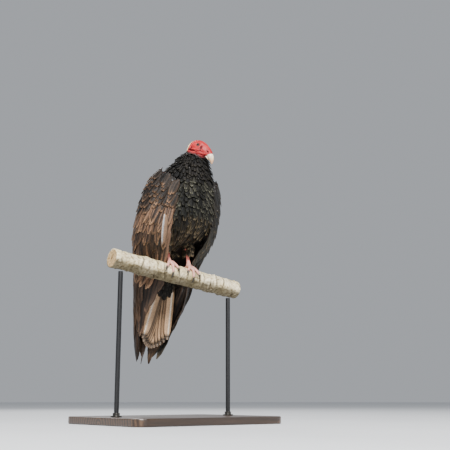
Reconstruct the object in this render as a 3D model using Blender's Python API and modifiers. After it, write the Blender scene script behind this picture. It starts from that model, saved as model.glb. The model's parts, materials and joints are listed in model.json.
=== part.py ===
"""Turkey vulture on a cut branch, held by a plain display stand. Metres, +Z up, the bird faces -Y.

The origin is the middle of the stand's underside. The bird is laid out from the middle of the branch, so
its heights are measured from the branch's axis. Its left side is +X.
"""

from math import cos, pi, radians, sin

import bmesh
import bpy
import numpy as np
from mathutils import Matrix, Vector

# ---------------------------------------------------------------- driving dimensions
GAP = 0.0003  # between pieces that meet
WING_CLEARANCE = 0.0015  # between the trunk and the wing that wraps round it

BRANCH_HEIGHT = 0.380  # axis of the branch above the floor
BRANCH_RADIUS = 0.0245
BRANCH_LENGTH = 0.400
BRANCH_SLOPE = radians(6.6)  # down towards the bird's left

BASE_SIZE = (0.440, 0.350, 0.018)
BASE_CORNER = 0.030
BASE_EDGE = 0.0025
ROD_RADIUS = 0.006
ROD_PLACES = (-0.172, 0.172)

# The folded bird from above, at heights over the branch's axis:
# height, middle y, half width, depth forwards, depth backwards
ENVELOPE = (
    (-0.228, 0.134, 0.036, 0.006, 0.008),
    (-0.190, 0.122, 0.049, 0.012, 0.014),
    (-0.120, 0.098, 0.068, 0.022, 0.026),
    (-0.030, 0.059, 0.092, 0.026, 0.045),
    (0.000, 0.052, 0.097, 0.022, 0.052),
    (0.032, 0.042, 0.104, 0.018, 0.060),
    (0.052, 0.037, 0.109, 0.046, 0.065),
    (0.080, 0.030, 0.115, 0.086, 0.070),
    (0.140, 0.006, 0.121, 0.094, 0.080),
    (0.200, -0.014, 0.116, 0.086, 0.082),
    (0.240, -0.028, 0.105, 0.076, 0.080),
    (0.262, -0.038, 0.093, 0.065, 0.079),
    (0.276, -0.047, 0.080, 0.056, 0.072),
)
# The trunk alone, in the same terms; its upper end is the root of the neck
TRUNK = (
    (-0.020, 0.056, 0.028, 0.010, 0.013),
    (0.010, 0.049, 0.048, 0.012, 0.028),
    (0.040, 0.039, 0.066, 0.008, 0.046),
    (0.068, 0.031, 0.080, 0.003, 0.058),
    (0.083, 0.026, 0.086, 0.022, 0.063),
    (0.098, 0.021, 0.094, 0.066, 0.068),
    (0.124, 0.012, 0.100, 0.092, 0.075),
    (0.160, -0.001, 0.101, 0.096, 0.080),
    (0.200, -0.014, 0.095, 0.088, 0.082),
    (0.240, -0.030, 0.080, 0.073, 0.079),
    (0.262, -0.042, 0.068, 0.060, 0.074),
    (0.278, -0.053, 0.056, 0.050, 0.064),
    (0.290, -0.062, 0.046, 0.042, 0.055),
)
NECK = (
    (0.290, -0.062, 0.046, 0.042, 0.055),
    (0.299, -0.069, 0.041, 0.036, 0.047),
    (0.306, -0.074, 0.036, 0.032, 0.039),
    (0.312, -0.077, 0.031, 0.028, 0.032),
    (0.316, -0.079, 0.026, 0.024, 0.027),
)
NECK_TILT = 0.50  # rise of the top ring towards the nape
NECK_POINTS, NECK_STEP = 26, 0.0065
# height, thickness, front edge and rear edge of a wing, in degrees from its side towards the back
WING = (
    (-0.228, 0.004, 20, 58),
    (-0.190, 0.006, -10, 72),
    (-0.120, 0.008, -28, 78),
    (-0.030, 0.011, -46, 84),
    (0.030, 0.015, -52, 85),
    (0.080, 0.020, -54, 78),
    (0.140, 0.025, -56, 66),
    (0.200, 0.028, -58, 54),
    (0.232, 0.028, -54, 46),
    (0.250, 0.022, -36, 40),
    (0.262, 0.015, -12, 34),
    (0.276, 0.008, 6, 22),
)
WING_EDGE_THICKNESS = 0.003
WING_EDGE_MARGIN = 9.0  # degrees beside a wing where the trunk stays as far in as under its edge
WING_EDGE_BLEND = 8.0  # degrees past that over which the trunk comes out to the envelope
TRUNK_POINTS, TRUNK_STEP = 28, 0.0190
WING_POINTS = 9
TIP_CLOSE = {"right": 0.001, "left": 0.016}  # how far each wing's tip swings in over the tail
WING_SPLIT = 0.0  # height where the arm's long feathers give way to the primaries
PRIMARY_STEPS = 5  # feather tips that step down the front edge of the primaries
PRIMARY_STEP_ANGLE = 9.0
WING_STEP, PRIMARY_LEVEL_STEP = 0.017, 0.0125  # between two rings of a wing

TAIL_ROOT = -0.0215
TAIL_TIP = -0.190
TAIL_HALF_WIDTHS = (0.031, 0.050)  # at the root and at the tip
TAIL_THICKNESS = 0.007
TAIL_CROWN = 0.012  # how far its edges curl forwards
TAIL_CORNER_RISE = 0.026
TAIL_FEATHERS = 10
TAIL_SCALLOP = 0.004
TAIL_SET_FORWARD = 0.003  # of the wings' middle line

THIGH = (  # along the feathered thigh, from the ankle up: x, y, z, radius
    (0.0335, 0.0045, 0.0745, 0.0085),
    (0.0345, 0.0020, 0.0860, 0.0135),
    (0.0365, -0.0030, 0.1010, 0.0200),
    (0.0385, -0.0110, 0.1180, 0.0260),
    (0.0390, -0.0180, 0.1400, 0.0270),
)
THIGH_POINTS, THIGH_DEPTH = 18, 1.15  # sides of the thigh, and its depth over its width
LEG_X = 0.033
ANKLE = (0.0335, 0.0040, 0.0720)
ANKLE_RADIUS, SHANK_RADIUS, FOOT_TOP_RADIUS = 0.0064, 0.0052, 0.0062
FOOT_TOP = 0.0125  # top of the foot over the branch's surface
SOLE_LIFT = 0.0032  # of the flat under the foot's middle
TOE_RADIUS, TOE_END_RADIUS, HIND_TOE_END_RADIUS = 0.0048, 0.0036, 0.0032
# name, where it ends along the branch, start and end angle over the branch's crown (forwards is positive)
TOES = (
    ("inner", -0.017, 8, 66),
    ("middle", 0.001, 8, 96),
    ("outer", 0.019, 8, 72),
    ("hind", -0.004, -14, -58),
)
CLAW_ARC = 27  # degrees round the branch that a front claw spans
CLAW_RADIUS, CLAW_TIP_RADIUS = 0.0031, 0.0007
CLAW_ARCH = 0.0022
CLAW_GAP = 0.0006

HEAD_AT = (0.002, -0.090, 0.3255)
HEAD_PITCH, HEAD_YAW = radians(30), radians(20)
# along the head, nose towards -Y: y, half width, middle height, half height, forward lean in degrees
HEAD = (
    (0.0305, 0.0060, -0.0060, 0.0060, 0),
    (0.0280, 0.0125, -0.0057, 0.0133, 0),
    (0.0220, 0.0172, -0.0037, 0.0188, 0),
    (0.0120, 0.0198, -0.0012, 0.0223, 0),
    (0.0000, 0.0204, 0.0002, 0.0232, 0),
    (-0.0110, 0.0194, 0.0004, 0.0216, 0),
    (-0.0200, 0.0166, -0.0006, 0.0190, 6),
    (-0.0280, 0.0130, -0.0008, 0.0156, 18),
    (-0.0340, 0.0106, -0.0010, 0.0124, 32),
    (-0.0380, 0.0092, -0.0014, 0.0102, 42),
    (-0.0406, 0.0084, -0.0020, 0.0091, 48),
)
HEAD_RINGS, HEAD_POINTS, HEAD_FULLNESS = 16, 24, 0.10
EYE_AT, EYE_RADIUS = (0.0145, -0.0032, 0.0084), 0.0052
NOSTRIL_AT, NOSTRIL_SIZE = (-0.0375, 0.0040), (0.0034, 0.0018)
NOSTRIL_TILT = radians(28)  # down towards the bill
HEAD_LENGTH = HEAD[0][0] - HEAD[-1][0]
# along the upper bill: y, z, half width, half depth, turn of the section from upright in degrees
BILL_PATH = (
    (-0.0408, -0.0022, 0.0081, 0.0089, 48),
    (-0.0450, -0.0052, 0.0077, 0.0086, 54),
    (-0.0490, -0.0090, 0.0066, 0.0078, 60),
    (-0.0528, -0.0130, 0.0050, 0.0062, 68),
    (-0.0556, -0.0166, 0.0034, 0.0044, 76),
    (-0.0572, -0.0196, 0.0020, 0.0026, 84),
    (-0.0577, -0.0216, 0.0009, 0.0011, 90),
)
LOWER_BILL = (
    (-0.0345, -0.0144, 0.0066, 0.0022, 48),
    (-0.0385, -0.0164, 0.0058, 0.0022, 42),
    (-0.0425, -0.0184, 0.0040, 0.0018, 40),
    (-0.0450, -0.0198, 0.0018, 0.0011, 40),
)

COLOURS = {
    "feather": ((0.020, 0.017, 0.014), 0.75),
    "wing": ((0.070, 0.050, 0.038), 0.70),
    "tail": ((0.140, 0.110, 0.088), 0.70),
    "skin": ((0.560, 0.060, 0.060), 0.55),
    "leg": ((0.640, 0.360, 0.290), 0.60),
    "bill": ((0.840, 0.780, 0.640), 0.35),
    "eye": ((0.030, 0.022, 0.018), 0.08),
    "claw": ((0.045, 0.040, 0.036), 0.40),
    "bark": ((0.520, 0.440, 0.300), 0.90),
    "stand": ((0.110, 0.100, 0.092), 0.45),
    "rod": ((0.350, 0.350, 0.350), 0.35),
}


# ---------------------------------------------------------------- scene and materials
def clear_scene():
    for obj in list(bpy.data.objects):
        bpy.data.objects.remove(obj)


def collection(name):
    made = bpy.data.collections.new(name)
    bpy.context.scene.collection.children.link(made)
    return made


def material(name):
    found = bpy.data.materials.get(name)
    if found:
        return found
    colour, roughness = COLOURS[name]
    found = bpy.data.materials.new(name)
    found.use_nodes = True
    shader = found.node_tree.nodes["Principled BSDF"]
    shader.inputs["Base Color"].default_value = (*colour, 1)
    shader.inputs["Roughness"].default_value = roughness
    shader.inputs["Metallic"].default_value = 1.0 if name == "rod" else 0.0
    return found


def empty(name, location, rotation=(0, 0, 0), parent=None):
    made = bpy.data.objects.new(name, None)
    PARTS.objects.link(made)
    made.location = location
    made.rotation_euler = rotation
    made.parent = parent
    return made


def add(name, mesh, finish, parent=None, where=None):
    """A new object that holds a mesh, in the parts' collection unless another is named."""
    obj = bpy.data.objects.new(name, mesh)
    (where or PARTS).objects.link(obj)
    obj.parent = parent
    mesh.materials.clear()
    mesh.materials.append(material(finish))
    mesh.shade_smooth()
    mesh.set_sharp_from_angle(angle=radians(40))
    return obj


# ---------------------------------------------------------------- shapes
def along(table, at):
    """A table's columns at some value of its first column, on a smooth curve through the rows."""
    rows = np.array(table, float)
    if rows[0, 0] > rows[-1, 0]:
        rows = rows[::-1]
    keys = rows[:, 0]
    slopes = np.gradient(rows[:, 1:], keys, axis=0)
    i = int(np.clip(np.searchsorted(keys, at) - 1, 0, len(keys) - 2))
    span = keys[i + 1] - keys[i]
    t = np.clip((at - keys[i]) / span, 0, 1)
    a, b = rows[i, 1:], rows[i + 1, 1:]
    return (
        a * (2 * t**3 - 3 * t**2 + 1)
        + slopes[i] * span * (t**3 - 2 * t**2 + t)
        + b * (3 * t**2 - 2 * t**3)
        + slopes[i + 1] * span * (t**3 - t**2)
    )


def loft(name, rings):
    """A closed mesh through rings of equally many points, with a flat cap at each end."""
    count = len(rings[0])
    points = [tuple(p) for ring in rings for p in ring]
    faces = [
        (r * count + i, r * count + (i + 1) % count, (r + 1) * count + (i + 1) % count, (r + 1) * count + i)
        for r in range(len(rings) - 1)
        for i in range(count)
    ]
    faces.append(tuple(range(count))[::-1])
    faces.append(tuple((len(rings) - 1) * count + i for i in range(count)))
    mesh = bpy.data.meshes.new(name)
    mesh.from_pydata(points, [], faces)
    return outward(mesh)


def outward(mesh):
    """The same mesh with its doubles merged and its faces turned outwards."""
    shape = bmesh.new()
    shape.from_mesh(mesh)
    bmesh.ops.remove_doubles(shape, verts=shape.verts, dist=1e-6)
    bmesh.ops.recalc_face_normals(shape, faces=shape.faces)
    if shape.calc_volume(signed=True) < 0:
        bmesh.ops.reverse_faces(shape, faces=shape.faces)
    shape.to_mesh(mesh)
    shape.free()
    return mesh


def tube_mesh(name, points, radii, resolution):
    """A round tube with a radius at each point, as a mesh with its caps welded."""
    curve = bpy.data.curves.new(name, "CURVE")
    curve.dimensions = "3D"
    curve.bevel_depth = 1.0
    curve.bevel_resolution = resolution
    curve.use_fill_caps = True
    spline = curve.splines.new("POLY")
    spline.points.add(len(points) - 1)
    for point, place, radius in zip(spline.points, points, radii):
        point.co = (*place, 1)
        point.radius = radius
    guide = bpy.data.objects.new(name + "_guide", curve)
    HELPERS.objects.link(guide)
    bpy.context.view_layer.update()
    mesh = bpy.data.meshes.new_from_object(guide.evaluated_get(bpy.context.evaluated_depsgraph_get()))
    bpy.data.objects.remove(guide)
    return outward(mesh)


def helper(name, mesh, parent=None):
    """A cutter or a piece to be joined: kept out of the model."""
    obj = add(name, mesh, "feather", parent, HELPERS)
    obj.hide_render = True
    obj.display_type = "WIRE"
    return obj


def boolean(obj, other, operation="DIFFERENCE"):
    step = obj.modifiers.new(f"{operation.lower()}_{other.name}", "BOOLEAN")
    step.operation = operation
    step.solver = "EXACT"
    step.object = other
    return step


def levels(low, high, step):
    return np.linspace(low, high, max(2, round((high - low) / step) + 1))


def oval(y, half_width, front, back, z, count):
    """A level ring whose front and rear halves have their own depth."""
    ring = []
    for i in range(count):
        angle = 2 * pi * i / count
        depth = back if sin(angle) > 0 else front
        ring.append((half_width * cos(angle), y + depth * sin(angle), z))
    return ring


# ---------------------------------------------------------------- trunk, neck and thighs
def wing_inset(thickness, first, last, angle):
    """Depth of a wing's inner face at an angle: full in its middle and thin at both edges."""
    share = min(1.0, abs(angle - (first + last) / 2) / ((last - first) / 2))
    edge = min(WING_EDGE_THICKNESS, thickness)
    return edge + (thickness - edge) * (1 - share**4)


def trunk_ring(z):
    """A level ring of the trunk, drawn in where a wing covers it."""
    y, half_width, front, back = along(TRUNK, z)
    ring = oval(y, half_width, front, back, z, TRUNK_POINTS)
    if z >= ENVELOPE[-1][0]:
        return ring
    middle, outer, outer_front, outer_back = along(ENVELOPE, z)
    thickness, first, last = along(WING, z)
    drawn = []
    for px, py, pz in ring:
        depth = outer_back if py > middle else outer_front
        angle = np.degrees(np.arctan2((py - middle) / depth, abs(px) / outer))
        beyond = max(first - WING_EDGE_MARGIN - angle, angle - last - WING_EDGE_MARGIN, 0) / WING_EDGE_BLEND
        inset = wing_inset(thickness, first, last, angle) + WING_CLEARANCE - beyond * WING_EDGE_THICKNESS * 2
        reach = np.hypot(px / (outer - inset), (py - middle) / (depth - inset))
        scale = min(1.0, 1.0 / reach)
        drawn.append((px * scale, middle + (py - middle) * scale, pz))
    return drawn


def make_trunk(bird):
    rings = [trunk_ring(z) for z in levels(TRUNK[0][0], TRUNK[-1][0], TRUNK_STEP)]
    trunk = add("trunk", loft("trunk", rings), "feather", bird)
    for side in (-1, 1):
        boolean(trunk, helper(f"thigh_cutter_{side}", thigh_mesh(side, GAP * 1.5), bird))
    return trunk


def thigh_mesh(side, grow=0.0):
    rings = []
    for x, y, z, radius in THIGH:
        around = [2 * pi * i / THIGH_POINTS for i in range(THIGH_POINTS)]
        wide, deep = radius + grow, (radius + grow) * THIGH_DEPTH
        rings.append([(side * x + wide * cos(a), y + deep * sin(a), z) for a in around])
    rings[0] = [(x, y, z - grow) for x, y, z in rings[0]]
    rings[-1] = [(x, y, z + grow) for x, y, z in rings[-1]]
    return loft("thigh", rings)


def make_thighs(bird):
    for name, side in (("right", -1), ("left", 1)):
        add(f"thigh_{name}", thigh_mesh(side), "feather", bird)


def neck_ring(z):
    """A ring of the neck, which tips up towards the nape as it rises."""
    y, half_width, front, back = along(NECK, z)
    tilt = NECK_TILT * (z - NECK[0][0]) / (NECK[-1][0] - NECK[0][0])
    return [(px, py, pz + tilt * (py - y)) for px, py, pz in oval(y, half_width, front, back, z, NECK_POINTS)]


def make_neck(bird, head_frame):
    low, high = NECK[0][0] + GAP, NECK[-1][0]
    neck = add("neck", loft("neck", [neck_ring(z) for z in levels(low, high, NECK_STEP)]), "feather", bird)
    boolean(neck, helper("head_cutter", head_mesh(GAP * 1.5), head_frame))
    return neck


# ---------------------------------------------------------------- wings and tail
def wing_ring(name, side, z):
    """A level section of a folded wing: out along its outer face and back along its inner one."""
    y, outer, front, back = along(ENVELOPE, z)
    thickness, first, last = along(WING, z)
    fall = max(0.0, (WING_SPLIT - z) / (WING_SPLIT - WING[0][0]))
    step = fall * PRIMARY_STEPS
    first = first + PRIMARY_STEP_ANGLE * (step % 1.0) * min(1.0, step)
    close = TIP_CLOSE[name] * fall**2

    def point(angle, inset):
        depth = back if angle > 0 else front
        x = (outer - inset) * cos(radians(angle)) - close
        return (side * x, y + (depth - inset) * sin(radians(angle)), z)

    angles = np.linspace(first, last, WING_POINTS)
    outside = [point(a, 0.0) for a in angles]
    inside = [point(a, wing_inset(thickness, first, last, a)) for a in angles[::-1]]
    return outside + inside


def make_wings(bird):
    low, high = WING[0][0], WING[-1][0]
    for name, side in (("right", -1), ("left", 1)):
        arm = [wing_ring(name, side, z) for z in levels(WING_SPLIT + GAP, high, WING_STEP)]
        add(f"wing_{name}", loft("wing", arm), "wing", bird)
        hand = [wing_ring(name, side, z) for z in levels(low, WING_SPLIT, PRIMARY_LEVEL_STEP)]
        add(f"primaries_{name}", loft("primaries", hand), "wing", bird)


def tail_point(across, down):
    """A point of the tail's sheet: across runs from -1 to 1, and down from 0 at the root to 1 at the tip."""
    tip = TAIL_TIP + TAIL_CORNER_RISE * across**2 + TAIL_SCALLOP * abs(sin(across * TAIL_FEATHERS * pi / 2))
    z = TAIL_ROOT + (tip - TAIL_ROOT) * down
    root, end = TAIL_HALF_WIDTHS
    x = across * (root + (end - root) * down**0.7)
    y = along(ENVELOPE, z)[0] - TAIL_SET_FORWARD - TAIL_CROWN * across**2 * (0.5 + 0.5 * down)
    return x, y, z


def make_tail(bird):
    bpy.ops.mesh.primitive_grid_add(x_subdivisions=20, y_subdivisions=5, size=2)
    tail = bpy.context.object
    tail.name = "tail"
    for vertex in tail.data.vertices:
        vertex.co = tail_point(vertex.co.x, (1 - vertex.co.y) / 2)
    for old in list(tail.users_collection):
        old.objects.unlink(tail)
    PARTS.objects.link(tail)
    tail.parent = bird
    tail.data.materials.append(material("tail"))
    shell = tail.modifiers.new("thickness", "SOLIDIFY")
    shell.thickness = TAIL_THICKNESS
    shell.offset = 0
    return tail


# ---------------------------------------------------------------- head
def leaning_ring(y, z, half_width, half_height, lean, count, fullness=0.0):
    """An upright oval across the head whose top leans forwards; fullness widens its lower half."""
    ring = []
    for i in range(count):
        angle = 2 * pi * i / count
        rise = half_height * sin(angle)
        x = half_width * cos(angle) * (1 - fullness * sin(angle))
        ring.append((x, y - rise * sin(radians(lean)), z + rise * cos(radians(lean))))
    return ring


def head_mesh(grow=0.0):
    """The bare head: ovals along its length, fuller below than above, leaning over towards the bill."""
    rings = []
    for y in np.linspace(HEAD[0][0], HEAD[-1][0], HEAD_RINGS):
        half_width, z, half_height, lean = along(HEAD, y)
        size = (half_width + grow, half_height + grow)
        rings.append(leaning_ring(y, z, *size, lean, HEAD_POINTS, HEAD_FULLNESS))
    return loft("head", rings)


def sphere_mesh(name, radius, place):
    shape = bmesh.new()
    bmesh.ops.create_uvsphere(shape, u_segments=12, v_segments=8, radius=radius)
    bmesh.ops.translate(shape, verts=shape.verts, vec=place)
    mesh = bpy.data.meshes.new(name)
    shape.to_mesh(mesh)
    shape.free()
    return mesh


def nostril_mesh():
    """A bar right through the face: the nostrils of this bird open into each other."""
    length, height = NOSTRIL_SIZE
    shape = bmesh.new()
    bmesh.ops.create_cone(shape, cap_ends=True, segments=14, radius1=1, radius2=1, depth=2 * HEAD_LENGTH)
    turn = Matrix.Rotation(pi / 2, 4, "Y")
    squash = Matrix.Diagonal((1, length, height, 1))
    tilt = Matrix.Rotation(NOSTRIL_TILT, 4, "X")
    place = Matrix.Translation((0, *NOSTRIL_AT))
    bmesh.ops.transform(shape, matrix=place @ tilt @ squash @ turn, verts=shape.verts)
    mesh = bpy.data.meshes.new("nostril")
    shape.to_mesh(mesh)
    shape.free()
    return mesh


def bill_mesh(name, path, count):
    """A bill half: ovals along a bent path in the plane of the head."""
    return loft(name, [leaning_ring(*row, count) for row in path])


def make_head(frame):
    head = add("head", head_mesh(), "skin", frame)
    x, y, z = EYE_AT
    for name, side in (("right", -1), ("left", 1)):
        place = (side * x, y, z)
        add(f"eye_{name}", sphere_mesh("eye", EYE_RADIUS, place), "eye", frame)
        boolean(head, helper(f"socket_{name}", sphere_mesh("socket", EYE_RADIUS + GAP, place), frame))
    boolean(head, helper("nostril_cutter", nostril_mesh(), frame))
    add("bill_upper", bill_mesh("bill_upper", BILL_PATH, 18), "bill", frame)
    add("bill_lower", bill_mesh("bill_lower", LOWER_BILL, 14), "bill", frame)
    return head


# ---------------------------------------------------------------- legs and feet
def over_branch(x, angle, lift):
    """A point over the branch, in the branch's own frame: angle is forwards from its crown."""
    reach = BRANCH_RADIUS + GAP + lift
    return Vector((x, -reach * sin(radians(angle)), reach * cos(radians(angle))))


def make_leg(name, side, bird, branch_frame):
    foot_x = side * LEG_X
    crown = over_branch(foot_x, 0, FOOT_TOP)
    tilt = Matrix.Rotation(BRANCH_SLOPE, 4, "Y")
    foot_top = tilt @ crown
    ankle = Vector((side * ANKLE[0], ANKLE[1], ANKLE[2] - GAP))
    rise = (ankle - foot_top).normalized()
    ways = [foot_top + rise * 2 * GAP, foot_top.lerp(ankle, 0.3), foot_top.lerp(ankle, 0.7), ankle]
    radii = (FOOT_TOP_RADIUS, SHANK_RADIUS, SHANK_RADIUS, ANKLE_RADIUS)
    add(f"leg_{name}", tube_mesh("leg", ways, radii, 3), "leg", bird)

    toes = []
    for toe, end, first, last in TOES:
        end *= side if toe != "middle" else 1
        toes.append(make_toe(f"{toe}_{name}", foot_x, foot_x + end, first, last, branch_frame))
    local_rise = tilt.inverted() @ rise
    knuckle = tube_mesh(
        "foot",
        [over_branch(foot_x, 0, SOLE_LIFT), crown - local_rise * 0.004, crown],
        (0.0080, 0.0072, FOOT_TOP_RADIUS),
        3,
    )
    foot = add(f"foot_{name}", knuckle, "leg", branch_frame)
    for toe in toes:
        boolean(foot, toe, "UNION")


def make_toe(name, start_x, end_x, first, last, frame):
    """A toe bent over the branch, with its claw as an object of its own."""
    hind = last < 0
    count = 7
    end_radius = HIND_TOE_END_RADIUS if hind else TOE_END_RADIUS
    points, radii = [], []
    for i in range(count):
        t = i / (count - 1)
        radius = TOE_RADIUS + (end_radius - TOE_RADIUS) * t
        knuckle = 1 + 0.10 * cos(2 * pi * 2.5 * t)
        points.append(over_branch(start_x + (end_x - start_x) * t, first + (last - first) * t, radius * 1.12))
        radii.append(radius * knuckle)
    way = (points[-1] - points[-2]).normalized()
    turn = -1 if hind else 1
    claw_points = [points[-1] + way * CLAW_GAP, points[-1] + way * (CLAW_GAP + CLAW_RADIUS)]
    claw_radii = [CLAW_RADIUS, CLAW_RADIUS * 0.97]
    for i in range(1, 6):
        t = i / 5
        angle = last + turn * (7 + (CLAW_ARC * (0.6 if hind else 1.0)) * t)
        lift = end_radius + CLAW_ARCH * sin(pi * min(1, t * 0.9 + 0.1)) - end_radius * 0.45 * t
        claw_points.append(over_branch(end_x + (end_x - start_x) * 0.25 * t, angle, lift))
        claw_radii.append(CLAW_RADIUS + (CLAW_TIP_RADIUS - CLAW_RADIUS) * t**0.9)
    add(f"claw_{name}", tube_mesh("claw", claw_points, claw_radii, 1), "claw", frame)
    return helper(f"toe_{name}", tube_mesh("toe", points, radii, 2), frame)


# ---------------------------------------------------------------- branch and stand
def make_branch(frame):
    """The perch: a sawn length of branch, a little uneven along its length."""
    count = 23
    points, radii = [], []
    for i in range(count):
        t = i / (count - 1)
        x = (t - 0.5) * BRANCH_LENGTH
        near_feet = np.exp(-((x / 0.085) ** 4))
        swell = 0.035 * cos(2 * pi * 9 * t) + 0.03 * cos(2 * pi * 2.3 * t + 1)
        points.append(Vector((x, 0, 0)))
        radii.append(BRANCH_RADIUS * (1 + swell * (1 - near_feet)))
    return add("perch_branch", tube_mesh("branch", points, radii, 5), "bark", frame)


def rounded_plate(name, width, depth, height, corner):
    bpy.ops.mesh.primitive_cube_add(size=1)
    plate = bpy.context.object
    plate.name = name
    for old in list(plate.users_collection):
        old.objects.unlink(plate)
    PARTS.objects.link(plate)
    plate.data.transform(Matrix.Translation((0, 0, height / 2)) @ Matrix.Diagonal((width, depth, height, 1)))
    weights = plate.data.attributes.new("bevel_weight_edge", "FLOAT", "EDGE")
    for edge in plate.data.edges:
        a, b = (plate.data.vertices[i].co for i in edge.vertices)
        weights.data[edge.index].value = 1.0 if abs(a.z - b.z) > height / 2 else 0.0
    corners = plate.modifiers.new("corners", "BEVEL")
    corners.limit_method = "WEIGHT"
    corners.width = corner
    corners.segments = 6
    rim = plate.modifiers.new("rim", "BEVEL")
    rim.limit_method = "ANGLE"
    rim.angle_limit = radians(60)
    rim.width = BASE_EDGE
    rim.segments = 2
    plate.data.materials.append(material("stand"))
    return plate


def make_stand():
    rounded_plate("stand_base", *BASE_SIZE, BASE_CORNER)
    for name, x in zip(("right", "left"), ROD_PLACES):
        axis = BRANCH_HEIGHT - x * np.tan(BRANCH_SLOPE)
        under = axis - (BRANCH_RADIUS * 1.07 + ROD_RADIUS * np.tan(BRANCH_SLOPE)) / cos(BRANCH_SLOPE) - 0.001
        points = [(x, 0, BASE_SIZE[2] + GAP), (x, 0, under)]
        add(f"stand_rod_{name}", tube_mesh("rod", points, (ROD_RADIUS, ROD_RADIUS), 3), "rod")


clear_scene()
PARTS = collection("vulture")
HELPERS = collection("helpers")
BIRD = empty("bird", (0, 0, BRANCH_HEIGHT))
BRANCH = empty("branch_frame", (0, 0, BRANCH_HEIGHT), (0, BRANCH_SLOPE, 0))
HEAD_FRAME = empty("head_frame", HEAD_AT, (HEAD_PITCH, 0, HEAD_YAW), BIRD)

make_trunk(BIRD)
make_thighs(BIRD)
make_neck(BIRD, HEAD_FRAME)
make_wings(BIRD)
make_tail(BIRD)
make_head(HEAD_FRAME)
for leg_name, leg_side in (("right", -1), ("left", 1)):
    make_leg(leg_name, leg_side, BIRD, BRANCH)
make_branch(BRANCH)
make_stand()
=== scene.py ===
"""Turkey vulture on a cut branch, on a display stand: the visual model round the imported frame.

Metres, +Z up. The bird faces -Y and its left side is +X. Heights called rise are measured from the
branch's axis.
"""

import json
import logging
from dataclasses import dataclass, field
from enum import Enum
from math import cos, pi, radians, sin

import bmesh
import bpy
import numpy as np
from mathutils import Matrix, Vector
from mathutils.bvhtree import BVHTree

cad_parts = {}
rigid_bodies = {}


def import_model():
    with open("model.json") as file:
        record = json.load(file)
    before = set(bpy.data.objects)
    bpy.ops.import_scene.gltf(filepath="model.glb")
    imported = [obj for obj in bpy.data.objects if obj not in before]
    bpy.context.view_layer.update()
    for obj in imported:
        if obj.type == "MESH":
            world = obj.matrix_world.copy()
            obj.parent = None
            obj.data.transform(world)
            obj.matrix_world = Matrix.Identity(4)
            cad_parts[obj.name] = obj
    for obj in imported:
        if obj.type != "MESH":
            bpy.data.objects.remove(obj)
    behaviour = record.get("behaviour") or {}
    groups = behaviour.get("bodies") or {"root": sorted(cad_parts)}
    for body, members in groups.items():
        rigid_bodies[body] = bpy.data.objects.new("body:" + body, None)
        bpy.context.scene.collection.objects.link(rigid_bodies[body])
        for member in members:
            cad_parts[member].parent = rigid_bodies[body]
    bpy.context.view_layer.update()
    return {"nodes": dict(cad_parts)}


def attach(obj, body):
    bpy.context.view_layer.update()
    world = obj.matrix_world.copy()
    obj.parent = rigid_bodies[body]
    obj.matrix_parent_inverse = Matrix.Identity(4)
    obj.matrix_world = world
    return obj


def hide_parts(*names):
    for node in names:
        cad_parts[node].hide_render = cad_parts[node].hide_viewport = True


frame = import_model()
LOG = logging.getLogger("vulture")
SEED = 11
PERCH_HEIGHT = 0.380
BRANCH_SLOPE = radians(6.6)
AXIS_START, AXIS_LEAN = 0.052, -0.345  # the body's middle line: y at the branch, and its change with the rise
HEAD_AT = Vector((0.002, -0.090, PERCH_HEIGHT + 0.3255))
HEAD_PITCH, HEAD_YAW = radians(30), radians(20)
HEAD_TURN = Matrix.Rotation(HEAD_YAW, 4, "Z") @ Matrix.Rotation(HEAD_PITCH, 4, "X")
HEAD_FRAME = Matrix.Translation(HEAD_AT) @ HEAD_TURN
EYE_PLACE = (0.0145, -0.0032, 0.0084)  # in the head's own frame, for the left eye
EYE_RADIUS = 0.0056
GAZE = (0.90, -0.32, 0.25)  # where the left eye looks, in the head's own frame
Colour = tuple[float, float, float]


class Side(Enum):
    """The two sides of the bird, as the sign of x."""

    RIGHT = -1
    LEFT = 1

    @property
    def word(self) -> str:
        """The side's name as node names spell it."""
        return self.name.lower()


# ---------------------------------------------------------------- mesh helpers
def deselect() -> None:
    """Leave object mode with nothing selected."""
    if bpy.context.object and bpy.context.object.mode != "OBJECT":
        bpy.ops.object.mode_set(mode="OBJECT")
    bpy.ops.object.select_all(action="DESELECT")


def activate(obj: bpy.types.Object) -> None:
    """Select one object alone and make it the active one.

    Args:
        obj: the object.
    """
    deselect()
    obj.select_set(True)
    bpy.context.view_layer.objects.active = obj


def apply_modifier(obj: bpy.types.Object, kind: str, **settings: object) -> None:
    """Add a modifier, set it and apply it.

    Args:
        obj: the object that is changed.
        kind: the modifier's type.
        settings: its properties.
    """
    activate(obj)
    step = obj.modifiers.new(kind.lower(), kind)
    for name, value in settings.items():
        setattr(step, name, value)
    bpy.ops.object.modifier_apply(modifier=step.name)


def copy_nodes(name: str, nodes: list[str]) -> bpy.types.Object:
    """One object that holds merged copies of CAD nodes.

    Args:
        name: the new piece's name.
        nodes: the nodes to copy.

    Returns:
        The new object, whose loose triangles are welded.
    """
    shape = bmesh.new()
    for node in nodes:
        shape.from_mesh(frame["nodes"][node].data)
    bmesh.ops.remove_doubles(shape, verts=shape.verts, dist=1e-6)
    mesh = bpy.data.meshes.new(name)
    shape.to_mesh(mesh)
    shape.free()
    obj = bpy.data.objects.new(name, mesh)
    bpy.context.scene.collection.objects.link(obj)
    return obj


def remesh(obj: bpy.types.Object, voxel: float, smooth: int) -> None:
    """Turn an object into one even surface of quads.

    Args:
        obj: the object that is changed.
        voxel: the size of a quad.
        smooth: how many rounds of smoothing follow.
    """
    apply_modifier(obj, "REMESH", mode="VOXEL", voxel_size=voxel)
    if smooth:
        apply_modifier(obj, "SMOOTH", factor=0.5, iterations=smooth)


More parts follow.
